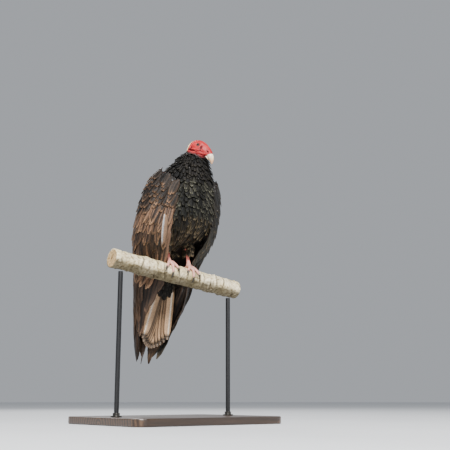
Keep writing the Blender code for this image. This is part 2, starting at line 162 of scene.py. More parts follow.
def keep_largest(obj: bpy.types.Object) -> None:
    """Delete all but the largest connected shell of a mesh.

    Args:
        obj: the object whose mesh is cleaned.
    """
    shape = bmesh.new()
    shape.from_mesh(obj.data)
    shells, seen = [], set()
    for start in shape.verts:
        if start in seen:
            continue
        shell, queue = [], [start]
        seen.add(start)
        while queue:
            vert = queue.pop()
            shell.append(vert)
            for edge in vert.link_edges:
                other = edge.other_vert(vert)
                if other not in seen:
                    seen.add(other)
                    queue.append(other)
        shells.append(shell)
    shells.sort(key=len)
    for shell in shells[:-1]:
        bmesh.ops.delete(shape, geom=shell, context="VERTS")
    shape.to_mesh(obj.data)
    shape.free()


def points_of(mesh: bpy.types.Mesh) -> np.ndarray:
    """A mesh's vertex places as an array of rows.

    Args:
        mesh: the mesh.

    Returns:
        One row a vertex.
    """
    flat = np.empty(len(mesh.vertices) * 3, np.float32)
    mesh.vertices.foreach_get("co", flat)
    return flat.reshape(-1, 3).astype(float)


def normals_of(mesh: bpy.types.Mesh) -> np.ndarray:
    """A mesh's vertex normals as an array of rows.

    Args:
        mesh: the mesh.

    Returns:
        One row a vertex.
    """
    flat = np.empty(len(mesh.vertices) * 3, np.float32)
    mesh.vertex_normals.foreach_get("vector", flat)
    return flat.reshape(-1, 3).astype(float)


def move_points(mesh: bpy.types.Mesh, points: np.ndarray) -> None:
    """Give a mesh's vertices new places."""
    mesh.vertices.foreach_set("co", points.astype(np.float32).ravel())
    mesh.update()


def tree_of(nodes: list[str]) -> BVHTree:
    """A search tree over the faces of some CAD nodes.

    Args:
        nodes: the nodes' names.

    Returns:
        The tree.
    """
    points, faces = [], []
    for node in nodes:
        mesh = frame["nodes"][node].data
        offset = len(points)
        points.extend(v.co.copy() for v in mesh.vertices)
        faces.extend([i + offset for i in polygon.vertices] for polygon in mesh.polygons)
    return BVHTree.FromPolygons(points, faces)


def smooth_noise(points: np.ndarray, scale: float, seed: int = 0) -> np.ndarray:
    """A smooth value between -1 and 1 that varies over space.

    Args:
        points: places, one a row.
        scale: about the size of one patch.
        seed: picks another pattern.

    Returns:
        One value a place.
    """
    rng = np.random.default_rng(SEED + seed)
    total = np.zeros(len(points))
    for _ in range(7):
        way = rng.normal(size=3)
        way *= (0.7 + 0.8 * rng.random()) * 2 * pi / scale / np.linalg.norm(way) / 2
        bend = rng.normal(size=3) / scale
        total += np.sin(points @ way + 1.5 * np.sin(points @ bend + rng.random() * 6) + rng.random() * 6)
    return total / 4.0


def write_colours(mesh: bpy.types.Mesh, name: str, colours: np.ndarray) -> None:
    """Store a colour for each vertex under an attribute's name.

    Args:
        mesh: the mesh that gets it.
        name: the attribute's name.
        colours: one row a vertex.
    """
    layer = mesh.color_attributes.new(name, "FLOAT_COLOR", "POINT")
    full = np.concatenate([np.clip(colours, 0, 1), np.ones((len(colours), 1))], 1)
    layer.data.foreach_set("color", full.astype(np.float32).ravel())


def write_map(mesh: bpy.types.Mesh, name: str, places: np.ndarray) -> None:
    """Store a UV map from one place a vertex.

    Args:
        mesh: the mesh that gets it.
        name: the map's name.
        places: one pair a vertex.
    """
    layer = mesh.uv_layers.new(name=name)
    corner = np.empty(len(mesh.loops), np.int32)
    mesh.loops.foreach_get("vertex_index", corner)
    layer.data.foreach_set("uv", places[corner].astype(np.float32).ravel())


def finish_piece(obj: bpy.types.Object, material: bpy.types.Material, nodes: list[str]) -> None:
    """Dress a new piece, attach it to the root body and hide the CAD nodes it stands for.

    Args:
        obj: the piece.
        material: its finish.
        nodes: the CAD nodes it stands for, if any.
    """
    obj.data.materials.clear()
    obj.data.materials.append(material)
    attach(obj, "root")
    if nodes:
        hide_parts(*nodes)
    LOG.info("%s: %d faces", obj.name, len(obj.data.polygons))


# ---------------------------------------------------------------- finishes
class Nodes:
    """A material's node tree, with short ways to add and join nodes."""

    def __init__(self, name: str) -> None:
        """Start a material with a plain shader.

        Args:
            name: the material's name.
        """
        self.material = bpy.data.materials.new(name)
        self.material.use_nodes = True
        self.tree = self.material.node_tree
        self.shader = self.tree.nodes["Principled BSDF"]

    def add(self, kind: str, **settings: object) -> bpy.types.Node:
        """Add a node and set its properties.

        Args:
            kind: the node's type.
            settings: its properties.

        Returns:
            The node.
        """
        node = self.tree.nodes.new(kind)
        for name, value in settings.items():
            setattr(node, name, value)
        return node

    def join(self, source: bpy.types.NodeSocket, target: bpy.types.NodeSocket) -> None:
        """Link an output to an input."""
        self.tree.links.new(source, target)

    def objects(self, scale: Colour = (1, 1, 1), turn: Colour = (0, 0, 0)) -> bpy.types.NodeSocket:
        """Object coordinates, scaled and turned.

        Args:
            scale: the scale along each axis.
            turn: the turn about each axis, in radians.

        Returns:
            The mapped vector.
        """
        source = self.add("ShaderNodeTexCoord")
        mapping = self.add("ShaderNodeMapping")
        mapping.inputs["Scale"].default_value = scale
        mapping.inputs["Rotation"].default_value = turn
        self.join(source.outputs["Object"], mapping.inputs["Vector"])
        return mapping.outputs["Vector"]

    def noise(self, where: bpy.types.NodeSocket, scale: float, detail: float = 4) -> bpy.types.NodeSocket:
        """A noise pattern's value.

        Args:
            where: the place that it is read at.
            scale: how fine it is.
            detail: how many finer layers it has.

        Returns:
            Its value, from 0 to 1.
        """
        node = self.add("ShaderNodeTexNoise")
        node.inputs["Scale"].default_value = scale
        node.inputs["Detail"].default_value = detail
        self.join(where, node.inputs["Vector"])
        return node.outputs["Fac"]

    def ramp(self, value: bpy.types.NodeSocket, stops: list[tuple[float, Colour]]) -> bpy.types.NodeSocket:
        """Colours at places along a value.

        Args:
            value: what picks the colour.
            stops: places and their colours.

        Returns:
            The colour.
        """
        node = self.add("ShaderNodeValToRGB")
        elements = node.color_ramp.elements
        while len(elements) < len(stops):
            elements.new(0.5)
        for element, (place, colour) in zip(elements, stops):
            element.position = place
            element.color = (*colour, 1)
        self.join(value, node.inputs["Fac"])
        return node.outputs["Color"]

    def mix(self, way: str, share: object, first: object, second: object) -> bpy.types.NodeSocket:
        """Two colours mixed by a blend type; a share may be a number or a socket.

        Args:
            way: the blend type.
            share: how much of the second.
            first: the first colour.
            second: the second colour.

        Returns:
            The mixed colour.
        """
        node = self.add("ShaderNodeMix", data_type="RGBA", blend_type=way)
        for socket, value in ((node.inputs[0], share), (node.inputs[6], first), (node.inputs[7], second)):
            if isinstance(value, bpy.types.NodeSocket):
                self.join(value, socket)
            elif isinstance(value, tuple):
                socket.default_value = (*value, 1)
            else:
                socket.default_value = value
        return node.outputs[2]

    def bump(self, height: bpy.types.NodeSocket, strength: float, distance: float) -> None:
        """Raise the surface by a value, over any bump it has already.

        Args:
            height: the value.
            strength: how much of the bump is used.
            distance: its height in metres.
        """
        node = self.add("ShaderNodeBump")
        node.inputs["Strength"].default_value = strength
        node.inputs["Distance"].default_value = distance
        self.join(height, node.inputs["Height"])
        target = self.shader.inputs["Normal"]
        if target.links:
            self.join(target.links[0].from_socket, node.inputs["Normal"])
        self.join(node.outputs["Normal"], target)

    def colour(self, value: bpy.types.NodeSocket) -> None:
        """Set the surface's colour from a socket."""
        self.join(value, self.shader.inputs["Base Color"])

    def set(self, **values: float) -> None:
        """Set plain numbers on the shader, by socket name with _ for a space."""
        for name, value in values.items():
            self.shader.inputs[name.replace("_", " ")].default_value = value


@dataclass(frozen=True)
class PlumageFinish:
    """Feathers: their own tint, fine barbs and a faint gloss."""

    name: str
    roughness: float
    gloss: float
    barbs: float = 60.0

    def build(self) -> bpy.types.Material:
        """Make the material from the vane's own map and tint.

        Returns:
            The material.
        """
        n = Nodes(self.name)
        tint = n.add("ShaderNodeAttribute", attribute_name="Tint")
        vane = n.add("ShaderNodeUVMap", uv_map="Vane")
        wave = n.add("ShaderNodeTexWave", wave_type="BANDS", bands_direction="DIAGONAL")
        wave.inputs["Scale"].default_value = self.barbs
        wave.inputs["Distortion"].default_value = 2.0
        n.join(vane.outputs["UV"], wave.inputs["Vector"])
        grain = n.noise(n.objects(), 420.0)
        worn = n.ramp(grain, [(0.3, (0.62, 0.60, 0.58)), (0.7, (1.25, 1.22, 1.18))])
        shade = n.mix("MULTIPLY", 1.0, tint.outputs["Color"], worn)
        lines = n.ramp(wave.outputs["Fac"], [(0.0, (0.78, 0.77, 0.76)), (1.0, (1.1, 1.1, 1.1))])
        n.colour(n.mix("MULTIPLY", 1.0, shade, lines))
        n.bump(wave.outputs["Fac"], 0.35, 0.0004)
        n.bump(grain, 0.25, 0.0005)
        n.set(Roughness=self.roughness, Specular_IOR_Level=self.gloss, Sheen_Weight=0.03, Sheen_Roughness=0.4)
        return n.material


@dataclass(frozen=True)
class SkinFinish:
    """Bare skin, coloured by its own tint, with pores and scales as fine relief."""

    name: str = "bare_skin"

    def build(self) -> bpy.types.Material:
        """Make the material from the skin's tint.

        Returns:
            The material.
        """
        n = Nodes(self.name)
        tint = n.add("ShaderNodeAttribute", attribute_name="Tint")
        where = n.objects()
        blotch = n.ramp(n.noise(where, 260.0, 6), [(0.3, (0.80, 0.72, 0.72)), (0.7, (1.12, 1.10, 1.10))])
        n.colour(n.mix("MULTIPLY", 0.8, tint.outputs["Color"], blotch))
        cells = n.add("ShaderNodeTexVoronoi")
        cells.inputs["Scale"].default_value = 900.0
        n.join(where, cells.inputs["Vector"])
        n.bump(cells.outputs["Distance"], 0.5, 0.00035)
        n.bump(n.noise(where, 1400.0), 0.25, 0.0002)
        n.set(Roughness=0.50, Specular_IOR_Level=0.38, Subsurface_Weight=0.10, Subsurface_Scale=0.003)
        return n.material


@dataclass(frozen=True)
class HornFinish:
    """Horn of a bill or claw, with growth lines along it."""

    name: str
    stops: tuple[tuple[float, Colour], ...]
    low: float
    high: float
    roughness: float

    def build(self) -> bpy.types.Material:
        """Make the material, which changes colour with height between low and high.

        Returns:
            The material.
        """
        n = Nodes(self.name)
        where = n.objects()
        parts = n.add("ShaderNodeSeparateXYZ")
        n.join(where, parts.inputs["Vector"])
        span = n.add("ShaderNodeMapRange")
        span.inputs["From Min"].default_value = self.low
        span.inputs["From Max"].default_value = self.high
        n.join(parts.outputs["Z"], span.inputs["Value"])
        streaks = n.noise(n.objects((260, 260, 40)), 1.0, 5)
        base = n.ramp(span.outputs["Result"], list(self.stops))
        tone = n.ramp(streaks, [(0.35, (0.80, 0.76, 0.70)), (0.65, (1.08, 1.06, 1.04))])
        n.colour(n.mix("MULTIPLY", 0.8, base, tone))
        n.bump(streaks, 0.25, 0.0003)
        n.set(Roughness=self.roughness, Specular_IOR_Level=0.5, Coat_Weight=0.15)
        return n.material


@dataclass(frozen=True)
class EyeFinish:
    """A dark brown eye with a black pupil and a wet coat, round a gaze line."""

    name: str
    centre: Vector
    gaze: Vector

    def build(self) -> bpy.types.Material:
        """Make the material: rings by the angle from the gaze line.

        Returns:
            The material.
        """
        n = Nodes(self.name)
        source = n.add("ShaderNodeTexCoord")
        offset = n.add("ShaderNodeVectorMath", operation="SUBTRACT")
        offset.inputs[1].default_value = self.centre
        n.join(source.outputs["Object"], offset.inputs[0])
        unit = n.add("ShaderNodeVectorMath", operation="NORMALIZE")
        n.join(offset.outputs[0], unit.inputs[0])
        along = n.add("ShaderNodeVectorMath", operation="DOT_PRODUCT")
        along.inputs[1].default_value = self.gaze
        n.join(unit.outputs[0], along.inputs[0])
        stops = [(0.0, (0.05, 0.02, 0.015)), (0.72, (0.045, 0.018, 0.010)), (0.80, (0.100, 0.042, 0.020)),
                 (0.90, (0.050, 0.020, 0.010)), (0.915, (0.003, 0.003, 0.003))]
        n.colour(n.ramp(along.outputs["Value"], stops))
        n.set(Roughness=0.06, Specular_IOR_Level=0.6, Coat_Weight=1.0, Coat_Roughness=0.02)
        return n.material


@dataclass(frozen=True)
class BarkFinish:
    """Pale bark with olive stains, dark pits and ring scars."""

    name: str = "pale_bark"

    def build(self) -> bpy.types.Material:
        """Make the material from the branch's tint and fine noise.

        Returns:
            The material.
        """
        n = Nodes(self.name)
        tint = n.add("ShaderNodeAttribute", attribute_name="Tint")
        where = n.objects()
        fine = n.noise(where, 160.0, 8)
        speck = n.noise(n.objects((40, 90, 90)), 2.2, 6)
        tone = n.ramp(fine, [(0.34, (0.55, 0.48, 0.38)), (0.5, (0.95, 0.93, 0.88)), (0.7, (1.12, 1.1, 1.06))])
        pits = n.ramp(speck, [(0.34, (0.30, 0.24, 0.15)), (0.43, (1, 1, 1))])
        n.colour(n.mix("MULTIPLY", 0.75, n.mix("MULTIPLY", 1.0, tint.outputs["Color"], tone), pits))
        n.bump(fine, 0.5, 0.0012)
        n.bump(n.noise(where, 700.0), 0.3, 0.0004)
        n.set(Roughness=0.82, Specular_IOR_Level=0.25)
        return n.material


@dataclass(frozen=True)
class BoardFinish:
    """Dark varnished wood with grain along the board."""

    name: str = "varnished_board"

    def build(self) -> bpy.types.Material:
        """Make the material from stretched noise and rings.

        Returns:
            The material.
        """
        n = Nodes(self.name)
        rings = n.add("ShaderNodeTexWave", wave_type="RINGS", rings_direction="X")
        rings.inputs["Scale"].default_value = 3.2
        rings.inputs["Distortion"].default_value = 5.0
        rings.inputs["Detail"].default_value = 3.0
        n.join(n.objects((0.6, 9.0, 9.0), (0, 0, 0.02)), rings.inputs["Vector"])
        fibre = n.noise(n.objects((8, 260, 260)), 1.0, 6)
        base = n.ramp(rings.outputs["Fac"], [(0.1, (0.032, 0.017, 0.009)), (0.6, (0.075, 0.040, 0.021)),
                                             (1.0, (0.110, 0.062, 0.033))])
        tone = n.ramp(fibre, [(0.3, (0.66, 0.64, 0.62)), (0.7, (1.15, 1.12, 1.1))])
        n.colour(n.mix("MULTIPLY", 0.9, base, tone))
        n.bump(fibre, 0.12, 0.0004)
        n.set(Roughness=0.36, Specular_IOR_Level=0.5, Coat_Weight=0.35, Coat_Roughness=0.18)
        return n.material


@dataclass(frozen=True)
class MetalFinish:
    """Dark satin-painted steel with faint brushing and worn spots."""

    name: str
    base: Colour
    roughness: float

    def build(self) -> bpy.types.Material:
        """Make the material from fine stretched noise.

        Returns:
            The material.
        """
        n = Nodes(self.name)
        brush = n.noise(n.objects((900, 900, 30)), 1.0, 4)
        light = tuple(1.5 * v for v in self.base)
        n.colour(n.ramp(brush, [(0.3, self.base), (0.75, light)]))
        n.bump(brush, 0.15, 0.0002)
        n.set(Roughness=self.roughness, Metallic=0.85)
        return n.material


# ---------------------------------------------------------------- body surface
class BodySurface:
    """The outer surface of some CAD nodes as a smooth distance round a middle line."""

    def __init__(self, nodes: list[str], low: float, high: float, blur: int = 3, x: float = 0.0,
                 start: float = AXIS_START, lean: float = AXIS_LEAN) -> None:
        """Measure the nodes from outside.

        Args:
            nodes: the CAD nodes.
            low: the lowest rise.
            high: the highest rise.
            blur: how many rounds of smoothing.
            x: the middle line's place across the bird.
            start: its y at the branch.
            lean: its change of y with the rise.
        """
        self.low, self.high, self.x, self.start, self.lean = low, high, x, start, lean
        self.rows, self.columns = 110, 180
        tree = tree_of(nodes)
        reach = 0.30
        table = np.full((self.rows, self.columns), np.nan)
        for i, rise in enumerate(np.linspace(low, high, self.rows)):
            middle = Vector((x, start + lean * rise, PERCH_HEIGHT + rise))
            for j in range(self.columns):
                turn = 2 * pi * j / self.columns
                way = Vector((cos(turn), sin(turn), 0))
                hit = tree.ray_cast(middle + way * reach, -way, reach)
                if hit[0] is not None:
                    table[i, j] = reach - hit[3]
        self.covered = ~np.isnan(table)
        self.table = self.fill(table)
        for _ in range(blur):
            self.blur()

    def fill(self, table: np.ndarray) -> np.ndarray:
        """Fill gaps round each row, and empty rows from their neighbours.

        Args:
            table: distances, with nan for a gap.

        Returns:
            The table without gaps.
        """
        turns = np.arange(self.columns)
        good = []
        for i in range(self.rows):
            known = ~np.isnan(table[i])
            if known.sum() > 2:
                table[i] = np.interp(turns, turns[known], table[i][known], period=self.columns)
                good.append(i)
        for i in range(self.rows):
            if np.isnan(table[i]).any():
                table[i] = table[min(good, key=lambda g: abs(g - i))]
        return table

    def blur(self) -> None:
        """One round of smoothing along and round the body."""
        t = self.table
        t = (np.roll(t, 1, 1) + 2 * t + np.roll(t, -1, 1)) / 4
        padded = np.concatenate([t[:1], t, t[-1:]])
        self.table = (padded[:-2] + 2 * padded[1:-1] + padded[2:]) / 4

    def radius(self, rise: np.ndarray, turn: np.ndarray) -> np.ndarray:
        """Distance from the middle line at some rises and turns.

        Args:
            rise: heights above the branch's axis.
            turn: turns round the middle line, in radians.

        Returns:
            One distance a place.
        """
        i = np.clip((rise - self.low) / (self.high - self.low) * (self.rows - 1), 0, self.rows - 1.001)
        j = (turn / (2 * pi) * self.columns) % self.columns
        i0, j0 = i.astype(int), j.astype(int)
        j1, fi, fj = (j0 + 1) % self.columns, i - i0, j - j0
        top = self.table[i0, j0] * (1 - fj) + self.table[i0, j1] * fj
        end = self.table[i0 + 1, j0] * (1 - fj) + self.table[i0 + 1, j1] * fj
        return top * (1 - fi) + end * fi

    def place(self, rise: np.ndarray, turn: np.ndarray) -> np.ndarray:
        """Points on the surface.

        Args:
            rise: heights above the branch's axis.
            turn: turns round the middle line, in radians.

        Returns:
            One point a place.
        """
        r = self.radius(rise, turn)
        return np.stack([self.x + r * np.cos(turn), self.start + self.lean * rise + r * np.sin(turn),
                         PERCH_HEIGHT + rise], -1)

    def normal(self, rise: np.ndarray, turn: np.ndarray) -> np.ndarray:
        """Outward unit normals of the surface.

        Args:
            rise: heights above the branch's axis.
            turn: turns round the middle line, in radians.

        Returns:
            One normal a place.
        """
        step, swing = 0.006, 0.06
        up = self.place(rise + step, turn) - self.place(rise - step, turn)
        across = self.place(rise, turn + swing) - self.place(rise, turn - swing)
        out = np.cross(across, up)
        return out / np.maximum(np.linalg.norm(out, axis=-1, keepdims=True), 1e-9)

    def is_covered(self, rise: float, turn: float) -> bool:
        """Whether a CAD node is really there."""
        i = int(np.clip((rise - self.low) / (self.high - self.low) * (self.rows - 1), 0, self.rows - 1))
        return bool(self.covered[i, int(turn / (2 * pi) * self.columns) % self.columns])


def bake_place(points: np.ndarray) -> np.ndarray:
    """Places on an unwrap of the body: the turn round its middle line, and the height.

    Args:
        points: points on or near the body.

    Returns:
        A pair from 0 to 1 for each point.
    """
    rise = points[..., 2] - PERCH_HEIGHT
    turn = np.arctan2(points[..., 1] - AXIS_START - AXIS_LEAN * rise, points[..., 0])
    return np.stack([0.02 + 0.96 * ((turn / (2 * pi)) % 1.0), 0.02 + 0.96 * (rise + 0.25) / 0.65], -1)


# ---------------------------------------------------------------- feathers
@dataclass
class Vanes:
    """Many feathers gathered as centre lines, to be built as one mesh of thin closed vanes."""

    name: str
    stations: int = 6
    across: int = 5
    thickness: float = 0.0007
    centres: list[np.ndarray] = field(default_factory=list)
    outward: list[np.ndarray] = field(default_factory=list)
    widths: list[np.ndarray] = field(default_factory=list)
    tints: list[np.ndarray] = field(default_factory=list)
    crowns: list[float] = field(default_factory=list)

    def add(self, centres: np.ndarray, outward: np.ndarray, widths: np.ndarray, tints: np.ndarray,
            crown: float) -> None:
        """Add one feather.

        Args:
            centres: its shaft's points, from root to tip.
            outward: the normals there.
            widths: half widths to its two sides, a pair a station.
            tints: colours, a grid of stations by places across.
            crown: how far its edges bend inwards, over its half width.
        """
        self.centres.append(centres)
        self.outward.append(outward)
        self.widths.append(widths)
        self.tints.append(tints)
        self.crowns.append(crown)

    def build(self) -> bpy.types.Object:
        """Make the mesh, its vane map, bake map and tint.

        Returns:
            The new object.
        """
        c, out, w = np.array(self.centres), np.array(self.outward), np.array(self.widths)
        tint, crown = np.array(self.tints), np.array(self.crowns)[:, None, None, None]
        count, k, m = len(c), self.stations, self.across
        ahead = np.gradient(c, axis=1)
        ahead /= np.maximum(np.linalg.norm(ahead, axis=-1, keepdims=True), 1e-9)
        side = np.cross(out, ahead)
        side /= np.maximum(np.linalg.norm(side, axis=-1, keepdims=True), 1e-9)
        out = np.cross(ahead, side)
        u = np.linspace(-1, 1, m)
        half = np.where(u[None, None, :] < 0, w[:, :, :1], w[:, :, 1:])
        spread = (u[None, None, :] * half)[..., None]
        top = c[:, :, None, :] + side[:, :, None, :] * spread
        top = top - out[:, :, None, :] * (crown * (u[None, None, :, None] ** 2) * half[..., None])
        body = (1 - u**2) ** 0.5
        body[m // 2] += 0.7
        lift = out[:, :, None, :] * (self.thickness * 0.5 * body)[None, None, :, None]
        upper, lower = top + lift, top - lift
        ring = np.concatenate([upper, lower[:, :, m - 2:0:-1]], 2)
        size = ring.shape[2]
        points = ring.reshape(-1, 3)
        order = list(range(m)) + list(range(m - 2, 0, -1))
        colours = tint[:, :, order].reshape(-1, 3)
        t = np.broadcast_to(np.linspace(0, 1, k)[None, :, None], (count, k, size))
        uu = np.broadcast_to(((u[order] + 1) / 2)[None, None, :], (count, k, size))
        vane = np.stack([uu.ravel(), t.ravel()], -1)
        root = bake_place(c[:, 0])
        length = np.linalg.norm(c[:, -1] - c[:, 0], axis=-1)
        tall = np.clip(length * 0.10, 0.003, 0.030)
        bake = np.stack([root[:, 0, None, None] + (uu - 0.5) * 0.003,
                         root[:, 1, None, None] - t * tall[:, None, None]], -1).reshape(-1, 2)
        i = np.arange(size)
        quad = np.stack([i, (i + 1) % size, size + (i + 1) % size, size + i], -1)[::-1]
        quads = (quad[None] + (np.arange(k - 1) * size)[:, None, None]).reshape(-1, 4)
        quads = (quads[None] + (np.arange(count) * k * size)[:, None, None]).reshape(-1, 4)
        faces = quads.tolist()
        for f in range(count):
            base = f * k * size
            faces.append([base + int(q) for q in i[::-1]])
            faces.append([base + (k - 1) * size + int(q) for q in i])
        mesh = bpy.data.meshes.new(self.name)
        mesh.from_pydata(points.tolist(), [], faces)
        mesh.update()
        write_map(mesh, "OFBake", np.clip(bake, 0.001, 0.999))
        write_map(mesh, "Vane", vane)
        write_colours(mesh, "Tint", colours)
        mesh.shade_smooth()
        obj = bpy.data.objects.new(self.name, mesh)
        bpy.context.scene.collection.objects.link(obj)
        activate(obj)
        bpy.ops.object.mode_set(mode="EDIT")
        bpy.ops.mesh.select_all(action="SELECT")
        bpy.ops.mesh.normals_make_consistent(inside=False)
        bpy.ops.object.mode_set(mode="OBJECT")
        return obj


class Outline(Enum):
    """Outlines of a feather, as its half width along its length."""

    ROUND = "round"
    LONG = "long"
    TUFT = "tuft"

    def widths(self, t: np.ndarray) -> np.ndarray:
        """Half width over the widest, from root at 0 to tip at 1.

        Args:
            t: places along the feather.

        Returns:
            One share a place.
        """
        if self is Outline.ROUND:
            return 0.30 + 0.70 * np.sin(pi * np.clip(t, 0, 1) ** 0.8 * 0.88) - 0.15 * t**6
        if self is Outline.LONG:
            return (0.30 + 0.70 * np.minimum(1, t / 0.25) ** 0.7) * np.sqrt(np.clip(1.03 - t**7, 0.03, 1))
        return 0.25 + 0.75 * np.sin(pi * (0.08 + 0.80 * t))


@dataclass(frozen=True)
class Dye:
    """A feather's colours: middle, edge, shaft and tip."""

    middle: Colour
    edge: Colour
    shaft: Colour
    tip: Colour
    spread: float = 0.25  # how much single feathers differ
    edge_from: float = 0.55

    def paint(self, t: np.ndarray, u: np.ndarray, light: float, rng: np.random.Generator) -> np.ndarray:
        """Colours on a grid of stations by places across.

        Args:
            t: places along the feather.
            u: places across, from -1 to 1.
            light: this feather's own brightness.
            rng: the source of small differences.

        Returns:
            An array of stations by places by three.
        """
        tt, uu = np.meshgrid(t, np.abs(u), indexing="ij")
        grid = np.broadcast_to(np.array(self.middle), (*tt.shape, 3)).copy()
        edge = np.clip((uu - self.edge_from) / (1 - self.edge_from), 0, 1)[..., None]
        edge = edge * (0.35 + 0.65 * tt[..., None])
        grid = grid * (1 - edge) + np.array(self.edge) * edge
        tip = np.clip((tt - 0.84) / 0.16, 0, 1)[..., None] ** 1.5
        grid = grid * (1 - tip) + np.array(self.tip) * tip
        grid[:, len(u) // 2] = np.array(self.shaft)
        streak = 1 + 0.22 * rng.normal(size=(1, len(u), 1))
        return grid * light * streak


@dataclass(frozen=True)
class Tract:
    """An area of like feathers set in staggered rows, from the tail end up."""

    low: float
    high: float
    first: float  # degrees: for a wing from its side towards the back, for the trunk round from the left
    last: float
    length: float
    width: float
    lean: float = 0.0  # degrees towards the back
    row: float = 0.42  # rows' distance over the length
    column: float = 0.80  # feathers' distance over the width
    sunk: float = 0.0040
    lift: float = 0.0010
    crown: float = 0.25
    outline: Outline = Outline.ROUND


class Plumage:
    """Lays feathers on body surfaces and gathers them into pieces."""

    def __init__(self) -> None:
        """Measure the body's surfaces."""
        self.rng = np.random.default_rng(SEED)
        self.trunk = BodySurface(["trunk", "neck"], -0.030, 0.318)
        self.wings = {side: BodySurface([f"wing_{side.word}", f"primaries_{side.word}"], -0.227, 0.275, 5)
                      for side in Side}
        self.thighs = {
            side: BodySurface([f"thigh_{side.word}"], 0.076, 0.139, 2, side.value * 0.037, 0.004, -0.17)
            for side in Side
        }

    def feather(self, vanes: Vanes, surface: BodySurface, rise: float, turn: float, tract: Tract, dye: Dye,
                light: float, swing: float) -> None:
        """Lay one feather along a surface.

        Args:
            vanes: the piece that takes it.
            surface: what it lies on.
            rise: its root's rise.
            turn: its root's turn, in radians.
            tract: sizes.
            dye: colours.
            light: its own brightness.
            swing: how far it veers to the side, in radians, positive with the turn.
        """
        rng = self.rng
        t = np.linspace(0, 1, vanes.stations)
        length = tract.length * (0.78 + 0.44 * rng.random())
        away = surface.radius(np.array([rise]), np.array([turn]))[0]
        rises = rise - length * t * cos(swing)
        turns = turn + length * t * sin(swing) / max(away, 0.012)
        out = surface.normal(rises, turns)
        height = -tract.sunk * (1 - t) ** 1.3 + tract.lift * (0.4 + rng.random()) * t**2
        centres = surface.place(rises, turns) + out * height[:, None]
        half = tract.width / 2 * tract.outline.widths(t)
        ragged = 1 + 0.10 * rng.normal(size=(len(t), 2))
        tints = dye.paint(t, np.linspace(-1, 1, vanes.across), light, rng)
        vanes.add(centres, out, np.abs(half[:, None] * ragged) + 0.0002, tints, tract.crown)

    def cover(self, vanes: Vanes, surface: BodySurface, tract: Tract, dye: Dye, side: Side | None = None,
              keep: object = None) -> None:
        """Fill a tract with rows of feathers.

        Args:
            vanes: the piece that takes them.
            surface: what they lie on.
            tract: their place and sizes.
            dye: their colours.
            side: the wing's side, or None for round the body.
            keep: a test of rise and turn that says whether a feather is wanted.
        """
        rise, row = tract.low, 0
        while rise <= tract.high:
            middle = radians((tract.first + tract.last) / 2)
            away = max(surface.radius(np.array([rise]), np.array([self.turn(middle, side)]))[0], 0.01)
            step = tract.width * tract.column / away
            angle = radians(tract.first) + (row % 2) * step / 2
            while angle <= radians(tract.last):
                here = angle + self.rng.normal() * step * 0.12
                at = rise + self.rng.normal() * tract.length * 0.07
                turn = self.turn(here, side)
                if keep is None or keep(at, turn):
                    point = surface.place(np.array([at]), np.array([turn]))
                    light = 1 + dye.spread * smooth_noise(point, 0.03)[0]
                    light += dye.spread * 0.6 * self.rng.normal()
                    swing = radians(tract.lean) * self.way(turn, side) + self.rng.normal() * 0.10
                    self.feather(vanes, surface, at, turn, tract, dye, max(light, 0.3), swing)
                angle += step
            rise += tract.length * tract.row
            row += 1

    @staticmethod
    def turn(angle: float, side: Side | None) -> float:
        """The turn round the body of an angle measured from a wing's side towards the back.

        Args:
            angle: the angle, in radians.
            side: the wing's side, or None for round the body.

        Returns:
            The turn, in radians.
        """
        if side is Side.RIGHT:
            return pi - angle
        return angle

    @staticmethod
    def way(turn: float, side: Side | None) -> float:
        """Which way round leads towards the back.

        Args:
            turn: the place's turn, in radians.
            side: the wing's side, or None for round the body.

        Returns:
            1 with the turn, -1 against it, or a share between.
        """
        if side is not None:
            return float(side.value)
        return float(np.cos(turn))


BREAST = Dye((0.018, 0.014, 0.008), (0.085, 0.066, 0.038), (0.005, 0.004, 0.003), (0.150, 0.118, 0.072), 0.85)
# Upper breast: near black with grey-olive edges and tips and patchy brightness, a painted sheen of the
# feathers' gloss.
BREAST_PAINTED_SHEEN = Dye((0.011, 0.010, 0.007), (0.052, 0.050, 0.036), (0.005, 0.005, 0.004), (0.100, 0.099, 0.073), 1.1)
FRONT = Dye((0.230, 0.140, 0.085), (0.330, 0.205, 0.125), (0.420, 0.490, 0.550), (0.300, 0.180, 0.110), 0.1)
RUFF = Dye((0.006, 0.005, 0.004), (0.018, 0.016, 0.012), (0.004, 0.003, 0.003), (0.030, 0.026, 0.019), 0.6)
MANTLE = Dye((0.014, 0.010, 0.008), (0.055, 0.036, 0.023), (0.006, 0.004, 0.003), (0.120, 0.074, 0.044), 0.45)
SHOULDER = Dye((0.018, 0.012, 0.008), (0.070, 0.044, 0.028),
               (0.006, 0.004, 0.003), (0.240, 0.140, 0.080), 0.6)
COVERT = Dye((0.100, 0.056, 0.033), (0.230, 0.132, 0.076), (0.008, 0.005, 0.004), (0.330, 0.200, 0.115), 0.6)
# Dark copy of the wing's colours for the far, left wing: painted shade.
LEFT_WING_PAINTED_SHADE = Dye((0.014, 0.012, 0.009), (0.036, 0.032, 0.022), (0.006, 0.005, 0.004), (0.110, 0.085, 0.055), 0.6)
FLIGHT = Dye((0.058, 0.034, 0.022), (0.150, 0.090, 0.054),
             (0.006, 0.005, 0.004), (0.150, 0.096, 0.060), 0.4, 0.7)
TAIL_UNDER = Dye((0.520, 0.335, 0.195), (0.640, 0.410, 0.240),
                 (0.950, 0.870, 0.760), (0.660, 0.470, 0.330), 0.12)


